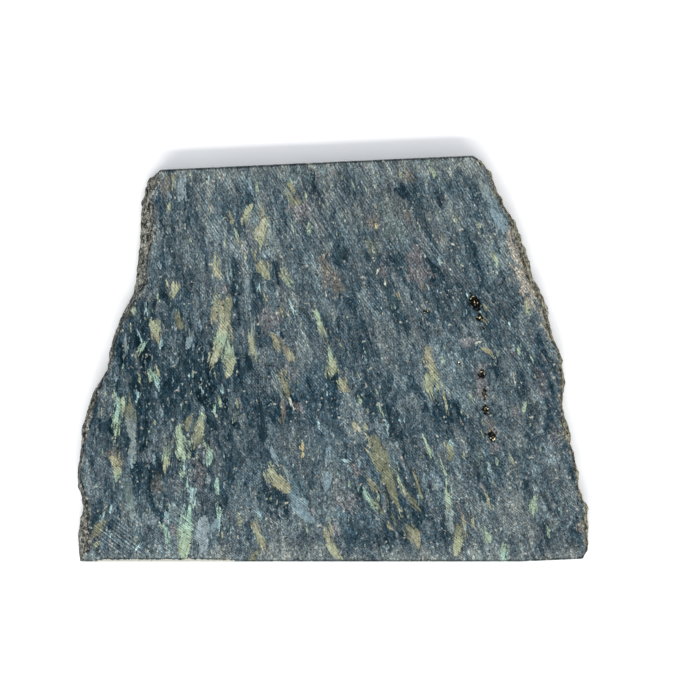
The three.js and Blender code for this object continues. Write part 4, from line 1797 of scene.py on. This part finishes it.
    def blades(self, tree: Tree, colour: Socket, grain: Socket, fine: Socket) -> tuple[Socket, Socket]:
        """Lay the main blades in, with frayed ends, inner fibres and fractures across them.

        Args:
            tree: the material's tree.
            colour: the colour so far.
            grain: place in the grain.
            fine: factor of the single fibres and grains.

        Returns:
            Socket with the colour, and one that is 1 inside a blade and 0 outside.
        """
        field = add(tree, ATTRIBUTE, {"attribute_name": "blade"}).outputs["Fac"]
        tint = add(tree, ATTRIBUTE, {"attribute_name": "blade_tint"}).outputs["Color"]
        place = add(tree, ATTRIBUTE, {"attribute_name": "blade_place"}).outputs["Vector"]
        torn = (self.layer(tree, place, self.blade_fray), self.layer(tree, grain, self.blade_nicks))
        splits = self.streaks(tree, place, self.blade_splits)
        split = add(tree, RANGE, SMOOTH, {"Value": splits, **self.split_depth.limits()})
        opened = add(tree, MATH, SUBTRACT, {0: field, 1: split.outputs[0]})
        frayed = self.total(tree, opened.outputs[0], torn)
        shadow = add(tree, RANGE, SMOOTH, {"Value": frayed, **self.blade_shadow.limits()})
        shaded = add(tree, MATH, MULTIPLY, {0: shadow.outputs[0], 1: fine})
        ground = add(tree, VECTOR_MATH, SCALE, {0: colour, "Scale": shaded.outputs[0]})
        amount = add(tree, RANGE, SMOOTH, {"Value": frayed, **self.blade_border.limits()})
        layers = (
            self.layer(tree, place, self.blade_fibres),
            self.layer(tree, place, self.blade_fractures),
            self.layer(tree, grain, self.blade_blotches),
            (fine, self.felt_in_blade),
        )
        light = self.total(tree, self.blade_light, layers)
        textured = add(tree, VECTOR_MATH, SCALE, {0: tint, "Scale": light})
        laid = add(tree, MATH, MULTIPLY, {0: amount.outputs[0], 1: self.blade_cover})
        sides = {SHARE: laid.outputs[0], UNDER: ground.outputs[0], OVER: textured.outputs[0]}
        return add(tree, MIX, RGBA, sides).outputs[MIXED], amount.outputs[0]

    def glints(self, tree: Tree, colour: Socket, grain: Socket) -> Socket:
        """Sprinkle tiny cleavage faces that catch the light, and tiny dark pores.

        Args:
            tree: the material's tree.
            colour: the colour so far.
            grain: place in the grain.

        Returns:
            Socket with the colour.
        """
        place = self.bent(tree, grain, self.glint_bend)
        for spots, tint in self.sprinkled:
            amount, _ = self.spots(tree, place, spots, 0, spots.share, self.glint_border)
            layers = {SHARE: amount, UNDER: colour, OVER: linear(tint)}
            colour = add(tree, MIX, RGBA, layers).outputs[MIXED]
        return colour

    def ripple(self, tree: Tree, place: Socket, spacing: float) -> Socket:
        """Draw even lines across a place's X, slightly wavering.

        Args:
            tree: the material's tree.
            place: where in the rock.
            spacing: the distance between the lines in millimetres.

        Returns:
            Socket with their strength, from 0 to 1.
        """
        wave = {
            "Vector": place,
            "Scale": math.tau / (WAVES_IN_TAU * spacing),
            "Distortion": self.waver,
            "Detail": self.waver_detail,
            "Detail Scale": self.waver_scale,
        }
        return add(tree, "ShaderNodeTexWave", None, wave).outputs["Fac"]

    def saw_marks(self, tree: Tree, colour: Socket, scored: Socket) -> tuple[Socket, Socket]:
        """Draw the saw's arcs, the finer scratches beside them, and deeper scores in the scored zones.

        Args:
            tree: the material's tree.
            colour: the colour so far.
            scored: how deeply the broad area is scored.

        Returns:
            Socket with the colour, and one with the lines for the relief.
        """
        place = add(tree, ATTRIBUTE, {"attribute_name": "saw"}).outputs["Vector"]
        arcs = self.layer(tree, place, self.saw_arcs)
        regular = self.ripple(tree, place, self.saw_spacing)
        ridges = self.ripple(tree, place, self.score_spacing)
        scratches = self.layer(tree, place, self.scratches)
        where = self.streaks(tree, place, self.saw_areas)
        faint = add(tree, RANGE, SMOOTH, {"Value": where, **self.saw_strength.limits()})
        lines = self.total(tree, 0.0, ((regular, self.saw_weight), arcs, scratches))
        fine = add(tree, MATH, MULTIPLY, {0: lines, 1: faint.outputs[0]})
        scores = ((ridges, self.score_weight), (scratches[0], self.scratches_in_scores))
        power = add(
            tree,
            MATH,
            MULTIPLY_ADD,
            {0: self.total(tree, 0.0, scores), 1: scored, 2: fine.outputs[0]},
        )
        light = add(tree, MATH, EXPONENT, {0: power.outputs[0]})
        lined = add(tree, VECTOR_MATH, SCALE, {0: colour, "Scale": light.outputs[0]})
        return lined.outputs[0], lines

    def skin(self, tree: Tree, grain: Socket, speckle: Socket, rusted: Socket) -> Socket:
        """Colour the skin of the broken walls: speckled grey and rusty gold, lighter and darker by areas.

        Args:
            tree: the material's tree.
            grain: place in the grain.
            speckle: the skin's speckles.
            rusted: how rusty it is.

        Returns:
            Socket with the colour.
        """
        grey = add(tree, "ShaderNodeValToRGB", None, {0: speckle})
        set_stops(grey, self.skin_ramp)
        golden = add(tree, "ShaderNodeValToRGB", None, {0: speckle})
        set_stops(golden, self.rusty_ramp)
        sides = {SHARE: rusted, UNDER: grey.outputs[0], OVER: golden.outputs[0]}
        rusty = add(tree, MIX, RGBA, sides).outputs[MIXED]
        weather = self.streaks(tree, grain, self.weather)
        shade = add(tree, RANGE, SMOOTH, {"Value": weather, **self.weather_shade.limits()})
        return add(tree, VECTOR_MATH, SCALE, {0: rusty, "Scale": shade.outputs[0]}).outputs[0]

    def edges(self, tree: Tree, colour: Socket, grain: Socket, edge: bpy.types.Node) -> Socket:
        """Lay the skin over the broken walls and their rims, darken the corners and paint a highlight on the
        bevel.

        Args:
            tree: the material's tree.
            colour: the colour so far.
            grain: place in the grain.
            edge: distance from the broken rim, share of broken wall, and distance from the sawn rim.

        Returns:
            Socket with the colour.
        """
        broken_rim, broken, sawn_rim = edge.outputs
        coarse = self.streaks(tree, grain, self.coarse_speckle)
        speckle = self.total(tree, coarse, (self.layer(tree, grain, self.fine_speckle),))
        cover = self.streaks(tree, grain, self.cover)
        crust = add(tree, ATTRIBUTE, {"attribute_name": "rind"}).outputs["Fac"]
        spread = self.total(tree, crust, ((cover, self.cover_on_wall),))
        worn = add(tree, RANGE, SMOOTH, {"Value": spread, **self.worn.limits()})
        across = add(tree, "ShaderNodeSeparateXYZ", None, {0: grain}).outputs[0]
        rust = add(tree, RANGE, SMOOTH, {"Value": across, **self.rusty_side.limits()})
        skinned = add(tree, MATH, MAXIMUM, {0: worn.outputs[0], 1: rust.outputs[0]})
        on_wall = add(tree, MATH, MULTIPLY, {0: skinned.outputs[0], 1: broken})
        reach = add(tree, RANGE, None, {"Value": cover, **self.rind_reach.limits()})
        near = add(tree, MATH, SUBTRACT, {0: reach.outputs[0], 1: broken_rim})
        torn = self.total(tree, crust, ((cover, self.cover_on_rim), (speckle, self.speckle_on_rim)))
        either = add(tree, MATH, MAXIMUM, {0: near.outputs[0], 1: torn})
        on_rim = {"Value": either.outputs[0], **self.rind_border.limits()}
        rind = add(tree, RANGE, SMOOTH, on_rim)
        amount = add(tree, MATH, MAXIMUM, {0: on_wall.outputs[0], 1: rind.outputs[0]})
        rusted = add(tree, MATH, MULTIPLY, {0: rust.outputs[0], 1: broken})
        skin = self.skin(tree, grain, speckle, rusted.outputs[0])
        layers = {SHARE: amount.outputs[0], UNDER: colour, OVER: skin}
        covered = add(tree, MIX, RGBA, layers).outputs[MIXED]
        line = add(tree, RANGE, SMOOTH, {"Value": sawn_rim, **self.sawn_corner.limits()})
        crack = add(tree, RANGE, SMOOTH, {"Value": broken_rim, **self.broken_corner.limits()})
        both = add(tree, MATH, MULTIPLY, {0: line.outputs[0], 1: crack.outputs[0]})
        lined = add(tree, VECTOR_MATH, SCALE, {0: covered, "Scale": both.outputs[0]}).outputs[0]
        # Painted highlight: cream on the bevel stands in for the key light that it catches.
        bevel_highlight = add(tree, ATTRIBUTE, {"attribute_name": "bevel_highlight"}).outputs["Fac"]
        bevel_highlight_broken = self.total(tree, bevel_highlight, (self.layer(tree, grain, self.bevel_highlight_breakup),))
        bevel_highlight_amount = add(tree, RANGE, SMOOTH, {"Value": bevel_highlight_broken, **self.bevel_highlight_border.limits()})
        bevel_highlight_mix = {SHARE: bevel_highlight_amount.outputs[0], UNDER: lined, OVER: linear(Tint.CREAM.value)}
        return add(tree, MIX, RGBA, bevel_highlight_mix).outputs[MIXED]

    def hollows(self, tree: Tree, colour: Socket, grain: Socket) -> Socket:
        """Darken the pits to brown-black, more where they are deeper.

        Args:
            tree: the material's tree.
            colour: the colour so far.
            grain: place in the grain.

        Returns:
            Socket with the colour.
        """
        depth = add(tree, ATTRIBUTE, {"attribute_name": "pit"}).outputs["Fac"]
        torn = self.total(tree, depth, (self.layer(tree, grain, self.pit_darkening_tears),))
        amount = add(tree, RANGE, SMOOTH, {"Value": torn, **self.pit_darkening_border.limits()})
        layers = {SHARE: amount.outputs[0], UNDER: colour, OVER: linear(self.pit_darkening)}
        return add(tree, MIX, RGBA, layers).outputs[MIXED]

    def relief(
        self, tree: Tree, grain: Socket, frayed: Socket, scratches: Socket, edge: bpy.types.Node
    ) -> Socket:
        """Raise the fibres, saw marks and crumbs by hundredths of a millimetre, more on the broken walls.

        Args:
            tree: the material's tree.
            grain: place in the grain.
            frayed: the same with frayed borders.
            scratches: the saw's lines.
            edge: the node whose second output is the share of broken wall.

        Returns:
            Socket with the bent surface normal.
        """
        fibres = self.streaks(tree, frayed, self.relief_fibres)
        crumbs = self.streaks(tree, grain, self.relief_crumbs)
        fine = self.total(tree, 0.0, ((fibres, self.fibre_heights[0]), (crumbs, self.crumb_heights[0])))
        sawn = add(tree, MATH, MULTIPLY_ADD, {0: scratches, 1: self.saw_height, 2: fine})
        coarse = self.total(tree, 0.0, ((crumbs, self.crumb_heights[1]), (fibres, self.fibre_heights[1])))
        sides = {SHARE: edge.outputs[1], FIRST: sawn.outputs[0], SECOND: coarse}
        height = add(tree, MIX, None, sides)
        bump = add(
            tree, "ShaderNodeBump", None, {"Height": height.outputs[0], "Distance": MM, "Strength": 1.0}
        )
        return bump.outputs[0]


@dataclass(frozen=True)
class SulphideFinish:
    """Pyrrhotite and chalcopyrite: a brassy metal, tarnished brown in places, with bright crystal faces."""

    roughness: float = 0.32
    tarnish_size: float = 0.5
    detail: float = 3.0
    tarnish_ramp: Ramp = ((0.35, "#51493a"), (0.5, "#a79a77"), (0.65, "#f2e9cf"))

    def material(self) -> bpy.types.Material:
        """Make the material.

        Returns:
            The material.
        """
        material = bpy.data.materials.new("tarnished_sulphide")
        material.use_nodes = True
        tree = material.node_tree
        tree.nodes.clear()
        place = add(tree, "ShaderNodeTexCoord").outputs["Object"]
        scale = 1 / (self.tarnish_size * MM)
        cloud = add(
            tree, "ShaderNodeTexNoise", None, {"Vector": place, "Scale": scale, "Detail": self.detail}
        )
        ramp = add(tree, "ShaderNodeValToRGB", None, {0: cloud.outputs[0]})
        set_stops(ramp, self.tarnish_ramp)
        shader = add(
            tree,
            "ShaderNodeBsdfPrincipled",
            None,
            {"Base Color": ramp.outputs[0], "Metallic": 1.0, "Roughness": self.roughness},
        )
        add(tree, "ShaderNodeOutputMaterial", None, {"Surface": shader.outputs[0]})
        return material


@dataclass(frozen=True)
class SulphideGrains:
    """Brassy crystals that stand on the floors of the pits, with their sizes in millimetres."""

    size: float = 0.46
    spacing: float = 0.55
    seed: int = 8
    reach: float = 0.8
    least: float = 0.35
    widest_gap: float = 3.0

    def build(self, slab: StoneSlab, material: bpy.types.Material) -> bpy.types.Object:
        """Set crystals over the pits' floors and make them one mesh.

        Args:
            slab: the stone, which says where the floors are.
            material: the finish of the crystals.

        Returns:
            The grains' object.
        """
        floor = self.floors(slab)
        carrier = bpy.data.objects.new("grain_floor", floor)
        bpy.context.scene.collection.objects.link(carrier)
        tree = self.tree(material)
        modifier = carrier.modifiers.new("grains", "NODES")
        modifier.node_group = tree
        sizes = {"Crystal size": self.size * MM, "Spacing": self.spacing * MM}
        for socket in tree.interface.items_tree:
            if socket.name in sizes:
                modifier[socket.identifier] = sizes[socket.name]
        graph = bpy.context.evaluated_depsgraph_get()
        mesh = bpy.data.meshes.new_from_object(carrier.evaluated_get(graph))
        bpy.data.objects.remove(carrier)
        mesh.name = "sulphide_grains"
        for vertex in mesh.vertices:
            vertex.co.z = min(vertex.co.z, TOP * MM)
        piece = bpy.data.objects.new("sulphide_grains", mesh)
        bpy.context.scene.collection.objects.link(piece)
        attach(piece, "root")
        LOG.info("sulphide_grains: %d faces", len(mesh.polygons))
        return piece

    def floors(self, slab: StoneSlab) -> bpy.types.Mesh:
        """Make the pits' floors as a loose mesh for the crystals to be scattered on.

        Args:
            slab: the stone, which says where the floors are.

        Returns:
            The floors' mesh.
        """
        points = slab.grid(slab.pit_step)
        points = points[slab.pit_reach(points) < self.reach]
        points[:, 2] = TOP - slab.pit_depth(points)
        made = delaunay_2d_cdt([Vector(p[:2]) for p in points], [], [], HULL, MERGE)
        limit = slab.pit_step * self.widest_gap
        faces = [list(face) for face in made[2] if self.is_small(points[face], limit)]
        mesh = bpy.data.meshes.new("floors")
        mesh.from_pydata((points * MM).tolist(), [], faces)
        return mesh

    def is_small(self, corners: np.ndarray, limit: float) -> bool:
        """Tell whether a triangle's sides are all short, so that it lies within one pit."""
        return bool(np.all(np.linalg.norm(corners - np.roll(corners, 1, axis=0), axis=1) < limit))

    def tree(self, material: bpy.types.Material) -> Tree:
        """Build the node tree that scatters the crystals.

        Args:
            material: the crystals' finish.

        Returns:
            The tree, with the crystals' size and spacing as inputs.
        """
        tree = bpy.data.node_groups.new("grain_scatter", "GeometryNodeTree")
        tree.interface.new_socket("Geometry", in_out="INPUT", socket_type="NodeSocketGeometry")
        tree.interface.new_socket("Crystal size", in_out="INPUT", socket_type="NodeSocketFloat")
        tree.interface.new_socket("Spacing", in_out="INPUT", socket_type="NodeSocketFloat")
        tree.interface.new_socket("Geometry", in_out="OUTPUT", socket_type="NodeSocketGeometry")
        given = add(tree, "NodeGroupInput")
        points = add(
            tree,
            "GeometryNodeDistributePointsOnFaces",
            {"distribute_method": "POISSON"},
            {
                "Mesh": given.outputs["Geometry"],
                "Distance Min": given.outputs["Spacing"],
                "Density Max": 1 / (self.spacing * MM) ** 2,
                "Seed": self.seed,
            },
        )
        ball = {"Radius": given.outputs["Crystal size"], "Subdivisions": 1}
        crystal = add(tree, "GeometryNodeMeshIcoSphere", None, ball)
        turn = add(
            tree,
            "FunctionNodeRandomValue",
            {"data_type": "FLOAT_VECTOR"},
            {"Max": (math.tau,) * 3, "Seed": self.seed + 1},
        )
        scale = add(
            tree,
            "FunctionNodeRandomValue",
            {"data_type": "FLOAT_VECTOR"},
            {"Min": (self.least,) * 3, "Max": (1.0,) * 3, "Seed": self.seed + 2},
        )
        placed = add(
            tree,
            "GeometryNodeInstanceOnPoints",
            None,
            {
                "Points": points.outputs["Points"],
                "Instance": crystal.outputs["Mesh"],
                "Rotation": turn.outputs["Value"],
                "Scale": scale.outputs["Value"],
            },
        )
        real = add(tree, "GeometryNodeRealizeInstances", None, {0: placed.outputs[0]})
        dressed = add(tree, "GeometryNodeSetMaterial", None, {0: real.outputs[0], "Material": material})
        add(tree, "NodeGroupOutput", None, {0: dressed.outputs[0]})
        return tree


@dataclass(frozen=True)
class Studio:
    """A white sheet, soft light from the long edge's side, and a camera straight above.

    What the camera sees, its lens and its sensor are in millimetres, and the sheet and the lights in metres.
    """

    frame_width: float = 154.0
    centre_x: float = 3.75
    centre_y: float = 1.9
    lens: float = 180.0
    sensor: float = 36.0
    farthest: float = 10.0
    sheet: float = 3.0
    sheet_gap: float = 0.02
    sheet_colour: str = "#fafaf8"
    sheet_roughness: float = 0.9
    sheet_gloss: float = 0.1
    fill: float = 0.97
    fill_colour: str = "#f6f8ff"
    key_elevation: float = 51.0
    key_distance: float = 1.2
    key_width: float = 1.6
    key_depth: float = 0.3
    key_power: float = 15.0

    def build(self) -> None:
        """Set up the camera, the floor and the lights."""
        scene = bpy.context.scene
        scene.view_settings.view_transform = "Standard"
        lens = bpy.data.cameras.new("camera")
        lens.lens = self.lens
        lens.sensor_width = self.sensor
        lens.clip_end = self.farthest
        camera = bpy.data.objects.new("camera", lens)
        distance = self.frame_width * self.lens / self.sensor
        camera.location = Vector((self.centre_x, self.centre_y, TOP + distance)) * MM
        scene.collection.objects.link(camera)
        scene.camera = camera
        self.floor()
        self.lights()

    def floor(self) -> None:
        """Lay the white sheet just under the slab."""
        half = self.sheet / 2
        corners = [(-half, -half), (half, -half), (half, half), (-half, half)]
        mesh = bpy.data.meshes.new("sheet")
        mesh.from_pydata([(x, y, -self.sheet_gap * MM) for x, y in corners], [], [(0, 1, 2, 3)])
        material = bpy.data.materials.new("matt_white_board")
        material.use_nodes = True
        shader = material.node_tree.nodes["Principled BSDF"]
        shader.inputs["Base Color"].default_value = linear(self.sheet_colour)
        shader.inputs["Roughness"].default_value = self.sheet_roughness
        shader.inputs["Specular IOR Level"].default_value = self.sheet_gloss
        mesh.materials.append(material)
        floor = bpy.data.objects.new("sheet", mesh)
        bpy.context.scene.collection.objects.link(floor)

    def lights(self) -> None:
        """Hang the wide key light and fill the room with soft light."""
        light = bpy.data.lights.new("key", "AREA")
        light.shape = "RECTANGLE"
        light.size = self.key_width
        light.size_y = self.key_depth
        light.energy = self.key_power
        key = bpy.data.objects.new("key", light)
        rise = math.radians(self.key_elevation)
        towards = Vector((0, -math.cos(rise), math.sin(rise)))
        key.location = towards * self.key_distance
        key.rotation_euler = (-towards).to_track_quat("-Z", "Y").to_euler()
        bpy.context.scene.collection.objects.link(key)
        world = bpy.data.worlds.new("room")
        world.use_nodes = True
        background = world.node_tree.nodes["Background"]
        background.inputs["Color"].default_value = linear(self.fill_colour)
        background.inputs["Strength"].default_value = self.fill
        bpy.context.scene.world = world


def main() -> None:
    """Build the slab, its grains and the studio, and note the sizes."""
    logging.basicConfig(level=logging.INFO)
    Studio().build()
    slab = StoneSlab()
    slab.build(NuummiteFinish().material())
    SulphideGrains().build(slab, SulphideFinish().material())


if __name__ == "__main__":
    main()
